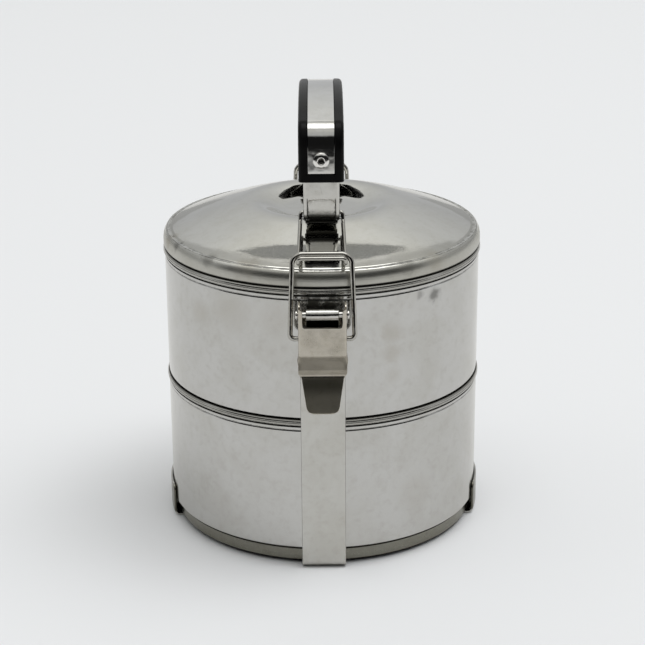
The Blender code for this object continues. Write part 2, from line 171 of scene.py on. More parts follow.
def resample(path, step):
    """A 2-D polyline with its long runs divided into about equal steps."""
    result = [Vector(path[0])]
    for point in path[1:]:
        point, start = Vector(point), result[-1]
        count = max(1, int(round((point - start).length / step)))
        result += [start.lerp(point, (i + 1) / count) for i in range(count)]
    return [tuple(point) for point in result]


def refine(path, parts, wanted):
    """A 2-D polyline with the runs picked by wanted(a, b) divided into parts."""
    result = []
    for a, b in zip(path, path[1:]):
        result.append(a)
        if wanted(a, b):
            result += [tuple(Vector(a).lerp(Vector(b), k / parts)) for k in range(1, parts)]
    return result + [path[-1]]


def slid(path, i, push):
    """Point i of a path; an end point moves outwards along the path by push."""
    point = Vector(path[i])
    neighbour = Vector(path[1] if i == 0 else path[-2])
    return point + (point - neighbour).normalized() * push


# ------------------------------------------------------------------ meshes
def finish_bmesh(bm, weld):
    bmesh.ops.remove_doubles(bm, verts=bm.verts, dist=weld)
    bmesh.ops.recalc_face_normals(bm, faces=bm.faces)
    mesh = bpy.data.meshes.new("piece")
    bm.to_mesh(mesh)
    bm.free()
    return mesh


def smoothed(mesh, sharp):
    """Smooth shading, with edges above the angle in degrees kept sharp."""
    mesh.shade_smooth()
    mesh.set_sharp_from_angle(angle=math.radians(sharp))
    return mesh


def put(name, mesh):
    mesh.name = name
    obj = bpy.data.objects.new(name, mesh)
    bpy.context.scene.collection.objects.link(obj)
    return obj


def bridge(bm, a, b):
    """Quads between two open rows of vertices."""
    for i in range(len(a) - 1):
        bm.faces.new((a[i], a[i + 1], b[i + 1], b[i]))


def skin(loops):
    """Closed loops of equal count, skinned with quads and closed by flat ends."""
    bm = bmesh.new()
    rings = [[bm.verts.new(Vector(point) * MM) for point in loop] for loop in loops]
    for a, b in zip(rings, rings[1:]):
        bridge(bm, a + a[:1], b + b[:1])
    bm.faces.new(rings[0][::-1])
    bm.faces.new(rings[-1])
    return smoothed(finish_bmesh(bm, weld=1e-6), sharp=40.0)


def revolve(profile, steps=288):
    """A profile of (radius, z) points turned round the Z axis."""
    bm = bmesh.new()
    angles = [2 * math.pi * i / steps for i in range(steps)]
    rings = []
    for r, z in profile:
        if r < 1e-5:
            rings.append([bm.verts.new((0, 0, z * MM))])
        else:
            rings.append(
                [bm.verts.new((r * math.cos(a) * MM, r * math.sin(a) * MM, z * MM)) for a in angles]
            )
    for a, b in zip(rings, rings[1:]):
        for i in range(steps):
            j = (i + 1) % steps
            if len(a) == 1:
                bm.faces.new((a[0], b[i], b[j]))
            elif len(b) == 1:
                bm.faces.new((a[i], b[0], a[j]))
            else:
                bm.faces.new((a[i], a[j], b[j], b[i]))
    return smoothed(finish_bmesh(bm, weld=1e-6), sharp=50.0)


def section(half_width, half_thick, edge, across):
    """A strip's rounded cross-section, its flat faces divided into across parts."""
    edge = max(1e-4, min(edge, half_thick * 0.98, half_width * 0.98))
    x, y = half_width - edge, half_thick - edge
    points = []
    for corner_x, corner_y, angle in ((x, y, 0), (-x, y, 90), (-x, -y, 180), (x, -y, 270)):
        points += arc(corner_x, corner_y, edge, angle, angle + 90, 3)
        if angle in (0, 180):
            face_y = points[-1][1]
            points += [(corner_x * (1 - 2 * k / across), face_y) for k in range(1, across)]
    return points


def ribbon(path, half_width_at, half_thick, edge, plane="YZ", across=1):
    """A strip swept along a 2-D path, with rounded edges and ends; its width follows z."""
    leans = normals(path)

    def row(i, inset, push):
        point = slid(path, i, push)
        left, stretch = leans[i]
        outline = section(
            half_width_at(path[i][1]) - inset, half_thick - inset, edge - inset * 0.999, across
        )
        loop = []
        for a, b in outline:
            p = point + left * (b * stretch)
            loop.append((a, p.x, p.y) if plane == "YZ" else (p.x, -a, p.y))
        return loop

    def end_row(i, s):
        return row(i, edge * (1 - math.sqrt(1 - s * s)) * 0.98, -edge * (1 - s))

    rows = [end_row(0, s) for s in (1.0, 0.7, 0.35)]
    rows += [row(i, 0, 0) for i in range(1, len(path) - 1)]
    rows += [end_row(len(path) - 1, s) for s in (0.35, 0.7, 1.0)]
    return skin(rows)


def tube(points, radius, sides, rounded=True):
    """A round wire along 3-D points; its first run must not be upright."""
    centres = [Vector(point) for point in points]
    tangents = headings(centres)[1]
    side = tangents[0].cross(Vector((0, 0, 1))).normalized()
    frames = []
    for i, (centre, tangent) in enumerate(zip(centres, tangents)):
        if i:
            side = (tangents[i - 1].rotation_difference(tangent) @ side).normalized()
        frames.append((centre, tangent, side))

    def ring(centre, tangent, side, radius):
        other = tangent.cross(side).normalized()
        angles = [2 * math.pi * k / sides for k in range(sides)]
        return [
            tuple(centre + side * (radius * math.cos(a)) + other * (radius * math.sin(a)))
            for a in angles
        ]

    def end_rings(frame, sign, angles):
        centre, tangent, side = frame
        rings = []
        for angle in map(math.radians, angles):
            shift = sign * 0.35 * radius * (math.sin(angle) - 1)
            end_radius = radius * math.cos(angle) + 1e-3
            rings.append(ring(centre + tangent * shift, tangent, side, end_radius))
        return rings

    if not rounded:
        return skin([ring(*frame, radius) for frame in frames])
    middle = [ring(*frame, radius) for frame in frames[1:-1]]
    start = end_rings(frames[0], -1, (80, 55, 28))
    return skin(start + middle + end_rings(frames[-1], 1, (28, 55, 80)))


def bar(radius, start, end, sides=32):
    """A plain round bar between two points, used to drill holes."""
    return tube([start, end], radius, sides, rounded=False)


def cross_bar(radius, y, z, reach, sides):
    """A drilling bar along X."""
    return bar(radius, (-reach, y, z), (reach, y, z), sides)


def applied(obj):
    """The object's mesh with its modifiers applied; the object goes."""
    bpy.context.view_layer.update()
    graph = bpy.context.evaluated_depsgraph_get()
    mesh = bpy.data.meshes.new_from_object(obj.evaluated_get(graph), depsgraph=graph)
    bpy.data.objects.remove(obj, do_unlink=True)
    return mesh


def drilled(name, mesh, cuts, sharp=40.0):
    obj = put(name, mesh)
    tools = []
    for cut in cuts:
        tool = put("tool", cut)
        tools.append(tool)
        hole = obj.modifiers.new("hole", "BOOLEAN")
        hole.operation = "DIFFERENCE"
        hole.solver = "EXACT"
        hole.object = tool
    mesh = applied(obj)
    for tool in tools:
        bpy.data.objects.remove(tool, do_unlink=True)
    obj = put(name, smoothed(mesh, sharp))
    even = obj.modifiers.new("normals", "WEIGHTED_NORMAL")
    even.keep_sharp = True
    even.weight = 60
    return applied(obj)


def sheet(name, bm, thickness, bevel, cuts):
    """An open surface made into rounded-edge sheet metal, then drilled."""
    obj = put(name, finish_bmesh(bm, weld=2e-6))
    solid = obj.modifiers.new("thickness", "SOLIDIFY")
    solid.thickness = thickness * MM
    solid.offset = 0.0
    solid.use_even_offset = True
    edge = obj.modifiers.new("edges", "BEVEL")
    edge.width = bevel * MM
    edge.segments = 2
    edge.limit_method = "ANGLE"
    edge.angle_limit = math.radians(55)
    edge.use_clamp_overlap = False
    return drilled(name, applied(obj), cuts, sharp=32.0)


# ------------------------------------------------------------------ node helpers
class Tree:
    """Short-hand for building a node tree.  Colours are RGB tuples."""

    def __init__(self, owner):
        owner.use_nodes = True
        self.tree = owner.node_tree
        self.tree.nodes.clear()

    def node(self, kind, **settings):
        node = self.tree.nodes.new(kind)
        for key, value in settings.items():
            setattr(node, key, value)
        return node

    def plug(self, socket, value):
        """Link an output to the socket, or set its value."""
        if isinstance(value, bpy.types.NodeSocket):
            self.tree.links.new(value, socket)
        else:
            socket.default_value = value + (1.0,) if isinstance(value, tuple) else value

    def filled(self, kind, *values, **settings):
        """A node with its first inputs plugged in order."""
        node = self.node(kind, **settings)
        for socket, value in zip(node.inputs, values):
            self.plug(socket, value)
        return node

    def math(self, operation, a, b=0.0):
        return self.filled("ShaderNodeMath", a, b, operation=operation).outputs[0]

    def plus(self, a, b):
        return self.math("ADD", a, b)

    def minus(self, a, b):
        return self.math("SUBTRACT", a, b)

    def times(self, a, b):
        return self.math("MULTIPLY", a, b)

    def sway(self, noise, amount):
        """A noise centred on nought and scaled."""
        return self.times(self.minus(noise, 0.5), amount)

    def fold(self, operation, values):
        total = values[0]
        for value in values[1:]:
            total = self.math(operation, total, value)
        return total

    def span(self, value, start, end, kind="SMOOTHSTEP"):
        """Nought to one as the value goes from start to end."""
        node = self.node("ShaderNodeMapRange", interpolation_type=kind)
        for key, setting in (("Value", value), ("From Min", start), ("From Max", end)):
            self.plug(node.inputs[key], setting)
        return node.outputs["Result"]

    def mix(self, factor, a, b, blend="MIX"):
        node = self.node("ShaderNodeMix", data_type="RGBA", blend_type=blend)
        for i, value in ((0, factor), (6, a), (7, b)):
            self.plug(node.inputs[i], value)
        return node.outputs[2]

    def tinted(self, colour, tint):
        return self.mix(1.0, colour, tint, blend="MULTIPLY")

    def vector(self, x, y, z):
        return self.filled("ShaderNodeCombineXYZ", x, y, z).outputs[0]

    def split(self, vector):
        return self.filled("ShaderNodeSeparateXYZ", vector).outputs

    def position(self):
        """The object's own coordinates in millimetres."""
        node = self.node("ShaderNodeVectorMath", operation="SCALE")
        self.plug(node.inputs[0], self.node("ShaderNodeTexCoord").outputs["Object"])
        node.inputs["Scale"].default_value = 1000.0
        return node.outputs[0]

    def mapping(self, vector, **settings):
        node = self.node("ShaderNodeMapping")
        self.plug(node.inputs["Vector"], vector)
        for key, value in settings.items():
            node.inputs[key].default_value = value
        return node.outputs[0]

    def noise(self, vector, scale, detail, rough, distortion=0.0):
        node = self.node("ShaderNodeTexNoise")
        for key, value in (
            ("Vector", vector), ("Scale", scale), ("Detail", detail),
            ("Roughness", rough), ("Distortion", distortion),
        ):
            self.plug(node.inputs[key], value)
        return node.outputs["Fac"]

    def bump(self, height, distance, normal=None):
        """Half-strength relief, distance in metres, laid over an earlier normal."""
        node = self.node("ShaderNodeBump")
        self.plug(node.inputs["Height"], height)
        node.inputs["Distance"].default_value = distance
        node.inputs["Strength"].default_value = 0.5
        if normal is not None:
            self.plug(node.inputs["Normal"], normal)
        return node.outputs["Normal"]

    def mix_shaders(self, factor, a, b):
        return self.filled("ShaderNodeMixShader", factor, a.outputs[0], b.outputs[0])


def principled(name):
    """A new material, its tree and the inputs of its shader."""
    material = bpy.data.materials.new(name)
    tree = Tree(material)
    shader = tree.node("ShaderNodeBsdfPrincipled")
    tree.filled("ShaderNodeOutputMaterial", shader.outputs[0])
    return material, tree, shader.inputs


# ------------------------------------------------------------------ materials
WHITE = (1.0, 1.0, 1.0)
HAZE_TINT = (0.93, 0.925, 0.905)
CLOUD_TINT = (0.88, 0.873, 0.85)
SCRATCH_INK = (0.34, 0.33, 0.31)
# dark spots: real stains, and painted shade behind the levers and in the rivet bores
STAIN_AND_SHADE_INK = (0.07, 0.068, 0.06)
SMEAR_INK = (0.40, 0.37, 0.31)
# near-black painted shade for crevices, gaps, undercuts and the edges of parts
CREVICE_SHADE_INK = (0.016, 0.015, 0.012)
# Bowl stains, spots of painted shade and smears fade in over these radii, so they show on the outer
# face only
BOWL_MARK_RADII = (69.65, 69.9)

# Noise scales (fine lines, broad waves) for X, Y and Z; the lid takes the radius for Z
EVEN = (0.12, 0.12, 0.12)
FINISHES = {
    "wall": ((0.02, 0.02, 5.0), (0.03, 0.03, 0.02)),
    "lid": ((0.015, 0.015, 4.0), (0.03, 0.03, 0.06)),
    "X": ((0.05, 4.0, 4.0), EVEN),
    "Y": ((4.0, 0.05, 4.0), EVEN),
    "Z": ((4.0, 4.0, 0.05), EVEN),
    "plain": ((2.0, 2.0, 2.0), EVEN),
}
# Three leanings of scratch: (turn, tilt, scale along, scale across, seed)
SCRATCHES = (
    (0.35, 0.9, 0.045, 2.4, 3.0),
    (-0.7, 1.5, 0.06, 3.0, 11.0),
    (1.2, -1.1, 0.035, 2.7, 27.0),
)


def scratch_mask(tree, position):
    """Sparse hairlines: the space is turned first, then drawn out along X."""
    hits = []
    for turn, tilt, along, across, seed in SCRATCHES:
        turned = tree.mapping(position, Rotation=(turn, tilt, turn * 1.7))
        drawn = tree.mapping(
            turned, Location=(seed, seed * 0.3, seed * 0.7), Scale=(along, across, across)
        )
        streaks = tree.noise(drawn, scale=1.0, detail=1.0, rough=0.4)
        hits.append(tree.span(streaks, 0.70, 0.76))
    return tree.fold("MAXIMUM", hits)


def spot_mask(tree, position, cloud, spots):
    """Round spots whose outlines wander with the cloud noise."""
    hits = []
    for x, y, z, size, power in spots:
        away = tree.node("ShaderNodeVectorMath", operation="DISTANCE")
        tree.plug(away.inputs[0], position)
        away.inputs[1].default_value = (x, y, z)
        wander = tree.plus(away.outputs["Value"], tree.sway(cloud, size * 1.6))
        hits.append(tree.times(tree.span(wander, size, size * 0.15), power))
    return tree.fold("MAXIMUM", hits)


def line_masks(tree, x, y, z, cloud, lines):
    """Level lines of painted shade; blotchy ones waver in height and come and go round the axis."""
    hits = []
    if any(blotch for *_, blotch in lines):
        wavering_z = tree.plus(z, tree.sway(cloud, 0.35))
    for height, half_width, strength, blotch in lines:
        away = tree.math("ABSOLUTE", tree.minus(wavering_z if blotch else z, height))
        hit = tree.times(tree.span(away, half_width * 1.25, half_width * 0.55), strength)
        if blotch:
            around = tree.vector(tree.times(x, 0.25), tree.times(y, 0.25), 0.0)
            patches = tree.noise(around, scale=1.0, detail=3.0, rough=0.6)
            patches = tree.span(patches, 0.40, 0.58)
            hit = tree.times(hit, tree.plus(1.0 - blotch, tree.times(patches, blotch)))
        hits.append(hit)
    return hits


def upright_shade_masks(tree, x, z, upright_shade):
    """Upright lines of painted shade either side of the middle."""
    hits = []
    for shade_x, half_width, low, high, strength in upright_shade:
        away = tree.math("ABSOLUTE", tree.minus(tree.math("ABSOLUTE", x), shade_x))
        hit = tree.times(tree.span(away, half_width * 1.3, half_width * 0.5), strength)
        ends = tree.times(
            tree.span(z, low - 0.4, low + 0.4), tree.span(z, high + 0.8, high - 0.8)
        )
        hits.append(tree.times(hit, ends))
    return hits


def steel(
    name, colour, *, rough, mottle, scratch, grain=1.0, finish="plain",
    stains_and_shade=(), smears=(), lines=(), zones=(), upright_shade=(),
):
    """Worn stainless sheet: spun or brushed lines, fine scratches, haze and marks, with painted
    shade.

    rough is the base roughness; mottle, scratch and grain are the strengths of the uneven
    haze, the scratches and the relief.
    finish is "wall" or "lid" for lines round the axis, or the axis the brush lines follow.
    The dark spots are real stains and painted shade, and the smears tan ones: (x, y, z, size,
    power).
    lines are painted shade in crevices, gaps and undercuts: (z, half width, strength, blotchiness).
    zones are darker, duller bands, several of them painted shade and one a painted dark reflection:
    (z low, z high, softness, tint, extra roughness).
    The upright lines are painted shade at x and -x: (x, half width, z low, z high, strength).
    """
    material, tree, shader = principled(name)
    position = tree.position()
    x, y, z = tree.split(position)
    if finish in ("wall", "lid"):
        radius = tree.math("SQRT", tree.plus(tree.times(x, x), tree.times(y, y)))
    axes = (x, y, radius if finish == "lid" else z)
    fine_at, broad_at = [
        tree.vector(*[tree.times(axis, scale) for axis, scale in zip(axes, scales)])
        for scales in FINISHES[finish]
    ]
    fine = tree.noise(fine_at, scale=1.0, detail=4.0, rough=0.65)
    broad = tree.noise(broad_at, scale=1.0, detail=2.0, rough=0.5)
    haze = tree.noise(position, scale=0.05, detail=4.0, rough=0.6, distortion=0.4)
    cloud = tree.noise(position, scale=0.30, detail=5.0, rough=0.62, distortion=0.3)
    speck = tree.noise(position, scale=1.6, detail=4.0, rough=0.7)
    scratches = tree.times(scratch_mask(tree, position), scratch)

    # colour, with the extra roughness of each kind of mark kept for later
    hazed = tree.mix(tree.span(haze, 0.35, 0.7), WHITE, HAZE_TINT)
    clouded = tree.mix(tree.times(tree.span(cloud, 0.46, 0.72), mottle), WHITE, CLOUD_TINT)
    base = tree.tinted(tree.tinted(colour, hazed), clouded)
    base = tree.mix(tree.times(scratches, 0.16), base, SCRATCH_INK)
    dulling = []
    # bands tinted darker and rougher; several are painted shade and one a painted dark reflection
    for low, high, soft, tint, extra in zones:
        mask = tree.times(
            tree.span(z, low - soft, low + soft), tree.span(z, high + soft, high - soft)
        )
        base = tree.mix(tree.times(mask, 1.0), base, tree.tinted(base, tint))
        dulling.append(tree.times(mask, extra))
    # dark spots are real stains and painted shade; smears are tan marks
    for spots, ink in ((stains_and_shade, STAIN_AND_SHADE_INK), (smears, SMEAR_INK)):
        if spots:
            mask = spot_mask(tree, position, cloud, spots)
            if finish == "wall":
                mask = tree.times(mask, tree.span(radius, *BOWL_MARK_RADII))
            base = tree.mix(mask, base, ink)
            dulling.append(tree.times(mask, 0.2))
    # painted shade in crevices, gaps and along edges: near black, less metallic and duller
    crevice_shade_hits = line_masks(tree, x, y, z, cloud, lines) + upright_shade_masks(tree, x, z, upright_shade)
    if crevice_shade_hits:
        crevice_shade = tree.fold("MAXIMUM", crevice_shade_hits)
        base = tree.mix(crevice_shade, base, CREVICE_SHADE_INK)
        dulling.append(tree.times(crevice_shade, 0.3))
        tree.plug(shader["Metallic"], tree.minus(1.0, tree.times(crevice_shade, 0.9)))
        tree.plug(shader["Specular IOR Level"], tree.minus(0.5, tree.times(crevice_shade, 0.42)))
    else:
        shader["Metallic"].default_value = 1.0
    tree.plug(shader["Base Color"], base)

    # roughness, never fully polished
    parts = [
        rough, tree.sway(haze, 0.14 * mottle), tree.sway(speck, 0.08 * mottle),
        tree.sway(fine, 0.06), tree.times(scratches, 0.15),
    ]
    if dulling:
        parts.append(tree.fold("ADD", dulling))
    tree.plug(shader["Roughness"], tree.math("MAXIMUM", tree.fold("ADD", parts), 0.03))

    # relief
    normal = tree.bump(cloud, distance=0.00005 * grain)
    normal = tree.bump(broad, distance=0.00060 * grain, normal=normal)
    normal = tree.bump(fine, distance=0.0000025 * grain, normal=normal)
    normal = tree.bump(scratches, distance=0.000006, normal=normal)
    tree.plug(shader["Normal"], normal)
    return material


def plastic(name):
    """Black moulding, hazy and a little paler on its worn edges."""
    material, tree, shader = principled(name)
    position = tree.position()
    haze = tree.noise(position, scale=0.12, detail=4.0, rough=0.6, distortion=0.3)
    grain = tree.noise(position, scale=6.0, detail=3.0, rough=0.6)
    edge = tree.node("ShaderNodeNewGeometry").outputs["Pointiness"]
    worn = tree.times(tree.span(edge, 0.52, 0.6), tree.span(haze, 0.35, 0.65))
    base = tree.mix(tree.span(haze, 0.3, 0.7), (0.0025, 0.0025, 0.0028), (0.005, 0.005, 0.005))
    base = tree.mix(tree.times(worn, 0.5), base, (0.03, 0.03, 0.03))
    tree.plug(shader["Base Color"], base)
    rough = tree.fold("ADD", [0.30, tree.sway(haze, 0.2), tree.sway(grain, 0.08)])
    tree.plug(shader["Roughness"], rough)
    shader["IOR"].default_value = 1.19
    tree.plug(shader["Normal"], tree.bump(grain, distance=0.00001))
    return material


BOWL_COLOUR = (0.578, 0.577, 0.571)


def rim_lines(rim):
    """Painted shade in the crevices of a rolled rim: the joint on top, the crease, the undercut and
    the collar.
    """
    return [
        (rim + 0.2, 0.5, 1.0, 0), (rim - 1.45, 0.15, 0.7, 0.4),
        (rim - 3.2, 0.42, 1.0, 0), (rim - 4.95, 0.2, 0.75, 0.5),
    ]


def rim_zone(low, high):
    return (low, high, 0.3, (0.74, 0.735, 0.71), 0.04)


MATERIALS = {
    "lid": steel(
        "lid_steel", (0.59, 0.588, 0.565), rough=0.05, finish="lid", mottle=0.4, scratch=0.6,
        grain=0.35,
        stains_and_shade=(
            (-48.0, -50.0, 134.0, 5.0, 0.45), (36.0, -60.0, 133.0, 5.0, 0.35),
            (-62.0, -30.0, 133.0, 3.5, 0.6),
        ),
        smears=(
            (-30.0, -59.0, 132.5, 9.0, 0.45), (48.0, -51.0, 132.5, 8.0, 0.4),
            (-66.0, -20.0, 133.0, 6.0, 0.5),
        ),
        # the lines are painted shade in the gap over the bowl's rim and in the groove round the dome
        lines=[(127.1, 0.9, 1.0, 0), (134.36, 0.12, 0.7, 0.8)],
        zones=[(126.0, 133.6, 0.5, (0.86, 0.855, 0.83), 0.27)],
    ),
    "upper": steel(
        "upper_bowl_steel", BOWL_COLOUR, rough=0.12, finish="wall", mottle=0.6, scratch=0.6,
        stains_and_shade=[
            (47.5, -51.5, 117.5, 4.6, 0.62), (41.0, -56.7, 119.5, 2.6, 0.35),
            # painted shade on the wall behind the levers
            *[(x, y, 119.5, 9.0, 1.0) for y in (-70.2, 70.2) for x in (-3.5, 3.5)],
        ],
        smears=(
            (-38.0, -58.8, 113.0, 14.0, 0.20), (-52.0, -46.8, 109.0, 8.0, 0.22),
            (29.6, -63.4, 105.0, 7.0, 0.34), (29.0, -63.7, 96.0, 6.0, 0.30),
            (29.6, -63.4, 86.0, 5.0, 0.22), (-20.0, -67.1, 112.0, 10.0, 0.18),
        ),
        # painted shade in the rim's crevices and under the wall's overhang above the foot; the foot,
        # down in the lower bowl's rim, is painted darker as shade
        lines=rim_lines(UPPER_RIM) + [(68.5, 0.35, 1.0, 0)],
        zones=[rim_zone(123.9, 127.5), (60.0, 68.6, 0.3, (0.5, 0.495, 0.46), 0.06)],
    ),
    "lower": steel(
        "lower_bowl_steel", BOWL_COLOUR, rough=0.13, finish="wall", mottle=0.6, scratch=0.6,
        smears=((40.0, -57.4, 30.0, 12.0, 0.12), (-46.0, -52.7, 22.0, 10.0, 0.12)),
        # painted shade in the rim's crevices, under the wall's overhang and along the bottom edge;
        # the foot ring is painted darker, partly painted shade and partly a duller olive finish
        lines=rim_lines(LOWER_RIM) + [(7.2, 0.42, 1.0, 0), (1.25, 0.5, 1.0, 0)],
        zones=[rim_zone(65.25, 68.9), (0.0, 8.3, 0.2, (0.44, 0.435, 0.385), 0.12)],
    ),
    "strap": steel(
        "strap_steel", (0.58, 0.577, 0.56), rough=0.13, finish="Z", mottle=0.6, scratch=0.5,
        # painted shade along both edges of the strap, and near-black painted shade on the tongue
        # behind the lever
        upright_shade=[(9.45, 0.16, -1.0, 110.0, 0.55)],
        zones=[(109.8, 115.8, 1.0, (0.04, 0.04, 0.037), 0.2)],
    ),
    "cross": steel(
        "cross_strip_steel", (0.50, 0.497, 0.48), rough=0.14, finish="X", mottle=0.6,
        # the upturned ears are painted darker
        scratch=0.5, zones=[(1.9, 14.8, 0.4, (0.28, 0.275, 0.24), 0.08)],
    ),
    "lever": steel(
        "lever_steel", (0.545, 0.513, 0.457), rough=0.20, mottle=1.0, scratch=0.4, grain=0.9,
        # the facet is painted darker and duller, the tab a little duller, and the ledge and top of
        # the tab carry a painted dark reflection
        zones=[
            (93.4, 101.2, 0.3, (0.80, 0.79, 0.76), 0.22),
            (76.0, 92.4, 0.4, (0.95, 0.95, 0.9), 0.12),
            (86.0, 92.4, 3.0, (0.45, 0.45, 0.43), 0.0),
        ],
        smears=(
            (-5.0, -80.5, 108.0, 5.0, 0.35), (5.5, -80.5, 104.0, 4.0, 0.3),
            (1.0, -80.7, 111.0, 3.0, 0.25), (5.0, 80.5, 108.0, 5.0, 0.35),
            (-5.5, 80.5, 104.0, 4.0, 0.3),
        ),
    ),
    "band": steel(
        "band_steel", (0.68, 0.68, 0.67), rough=0.06, finish="Y", mottle=0.4, scratch=0.4,
        grain=0.4,
    ),
    "bracket": steel(
        "bracket_steel", (0.60, 0.595, 0.575), rough=0.12, mottle=0.5, scratch=0.4, grain=0.25,
        # painted shade along the sides of the sunken panel, on the feet and the legs' lower ends,
        # and on the part inside the grip
        upright_shade=[(5.95, 0.22, 150.0, 157.6, 0.95)],
        zones=[
            (141.0, 150.7, 0.6, (0.20, 0.198, 0.185), 0.12),
            (146.0, 149.8, 0.4, (0.2, 0.2, 0.2), 0.0),
            (166.2, 200.0, 0.4, (0.12, 0.12, 0.115), 0.1),
        ],
    ),
    "wire": steel(
        "wire_steel", (0.47, 0.462, 0.437), rough=0.08, mottle=0.7, scratch=0.3, grain=0.5
    ),
    "pin": steel(
        "pin_steel", (0.66, 0.655, 0.64), rough=0.12, finish="X", mottle=0.4, scratch=0.4,
        grain=0.4,
    ),
    "rivet": steel(
        "rivet_steel", (0.84, 0.835, 0.82), rough=0.12, mottle=0.4, scratch=0.3, grain=0.3,
        # painted shade in the bore of each rivet head
        stains_and_shade=[(0.0, y, RIVET_Z, 2.9, 1.0) for y in (-45.7, 45.7)],
    ),
    "black": plastic("black_plastic"),
}


def place(name, mesh, node, body, look):
    """Stand a finished mesh in for its CAD node."""
    obj = put(name, mesh)
    obj.data.materials.clear()
    obj.data.materials.append(MATERIALS[look])
    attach(obj, body)
    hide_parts(node)


def place_pair(mesh, piece, suffix, body, look):
    """Place the front piece, and its copy turned round to the rear; {} in body is the end."""
    for end in ("front", "rear"):
        if end == "rear":
            mesh = mesh.copy()
            mesh.transform(HALF_TURN)
        node = f"{piece}_{end}"
        place(f"{node}_{suffix}", mesh, node, body.format(end), look)


# ------------------------------------------------------------------ bowls
BODY_RADIUS, RIM_RADIUS = 70.0, 70.7
WALL = 0.8
FOOT_HEIGHT = 6.9  # narrower foot below the wall


def bowl_profile(base, rim):
    """(radius, z) up the inside from the centre, over the bead and down the outside."""
    foot_top = base + FOOT_HEIGHT
    inner = BODY_RADIUS - WALL
    inside = [(r, base + 3.3) for r in (0, 20.0, 40.0, 56.0)]
    inside += fillet(
        [
            (62.0, base + 3.3), (64.8, base + 3.3), (66.4, base + 1.05), (67.0, base + 0.95),
            (67.35, foot_top - 3.0), (67.6, foot_top + 0.4), (68.5, foot_top + 1.1),
            (inner, foot_top + 2.2), (inner, foot_top + 8.0),
        ],
        [1.2, 0.3, 0.4, 0.0, 0.4, 0.5, 1.0], steps=5,
    )
    inside += [(inner, rim - 6.0), (inner, rim - 1.0)]
    lip = [(inner, rim - 1.1), (inner + 0.05, rim), (RIM_RADIUS - 0.02, rim)]
    inside += fillet(lip, [0.55], steps=6)[1:-1]
    # the bead bulges between the joint on top and the undercut, creased near its middle
    outside = [(RIM_RADIUS - 0.78, rim)]
    for k in range(1, 49):
        u = -1 + 2 * k / 48
        z = rim - 1.48 - 1.48 * u
        crease = 0.12 * math.exp(-(((z - rim + 1.45) / 0.15) ** 2))
        outside.append((RIM_RADIUS - 0.72 * abs(u) ** 2.6 - crease, z))
    outside += fillet(
        [
            (RIM_RADIUS - 0.85, rim - 2.98), (BODY_RADIUS - 0.42, rim - 3.25),
            (BODY_RADIUS + 0.05, rim - 3.42), (BODY_RADIUS + 0.05, rim - 4.6),
            (BODY_RADIUS - 0.2, rim - 4.95), (BODY_RADIUS, rim - 5.5), (BODY_RADIUS, rim - 9.0),
        ],
        [0.08, 0.08, 0.25, 0.3, 0.4], steps=4,
    )
    outside += [(BODY_RADIUS, z) for z in spread(rim - 9.0, foot_top + 6.0, 9)]
    outside += fillet(
        [
            (BODY_RADIUS, foot_top + 5.0), (BODY_RADIUS, foot_top + 0.5), (69.3, foot_top),
            (68.45, foot_top + 0.1), (68.25, base + 3.4), (68.0, base + 0.7), (67.5, base),
            (66.6, base), (65.6, base + 0.8), (64.4, base + 2.5), (60.0, base + 2.5),
        ],
        [1.1, 0.3, 0.25, 0.0, 0.5, 0.25, 0.4, 0.8, 0.8], steps=5,
    )
    outside += [(r, base + 2.5) for r in (45.0, 22.0, 0)]
    return inside + outside


for level, base, rim in (("lower", LOWER_BASE, LOWER_RIM), ("upper", UPPER_BASE, UPPER_RIM)):
    node = f"{level}_bowl"
    place(f"{node}_shell", revolve(bowl_profile(base, rim)), node, node, level)


# ------------------------------------------------------------------ lid
DOME_START, DOME_END = 39.5, 66.2
# (radius, z) of the sunken middle and the ridge round it
LID_MIDDLE = [
    (0, 141.6), (8.0, 141.6), (14.0, 141.6), (17.0, 141.7), (19.0, 142.05), (21.5, 142.85),
    (24.0, 143.75), (26.5, 144.6), (28.5, 145.15), (30.5, 145.42), (32.5, 145.45),
    (34.6, 145.25), (37.2, 144.72),
]
# (radius, z) of the shoulder, from the groove round the dome to the top of the skirt
LID_SHOULDER = [
    (67.35, 134.36), (67.9, 134.42), (68.5, 134.48), (69.05, 134.2), (69.6, 133.5),
    (70.1, 132.4), (70.4, 131.1), (70.5, 129.8),
]


def dome_z(r):
    return 133.8 + 17.2 * (1 - (r / 69.0) ** 1.635)


def lid_profile():
    """(radius, z) out over the top, round the skirt and back along the underside."""
    middle = LID_MIDDLE + [(DOME_START, dome_z(DOME_START))]
    top = spline(middle + [(r, dome_z(r)) for r in spread(DOME_START, DOME_END, 14)], steps=4)
    top += spline([(66.8, dome_z(66.8))] + LID_SHOULDER, steps=5)
    skirt = fillet(
        [
            (70.5, 129.6), (70.48, 127.2), (68.7, 127.2), (68.6, 121.2), (67.8, 121.2),
            (67.8, 130.5), (66.3, dome_z(66.3) - 1.3), (62.0, dome_z(62.0) - 0.8),
        ],
        [1.1, 0.25, 0.2, 0.2, 1.0, 1.0], steps=7,
    )
    underside = [(r, dome_z(r) - WALL) for r in spread(62.0, DOME_START, 10)[:-1]]
    underside += [(r, z - WALL) for r, z in spline(middle, steps=3)[::-1]]
    return top + skirt + underside


place("lid_shell", revolve(lid_profile()), "lid", "lid", "lid")


# ------------------------------------------------------------------ strap
STRAP_OUT = 71.9  # mid-thickness
STRIP_HALF_THICK = 0.4  # strap and cross strip
STRAP_HALF_WIDTH, TONGUE_HALF_WIDTH = 9.45, 6.75
SHOULDER_LOW, SHOULDER_HIGH = 108.4, 109.9


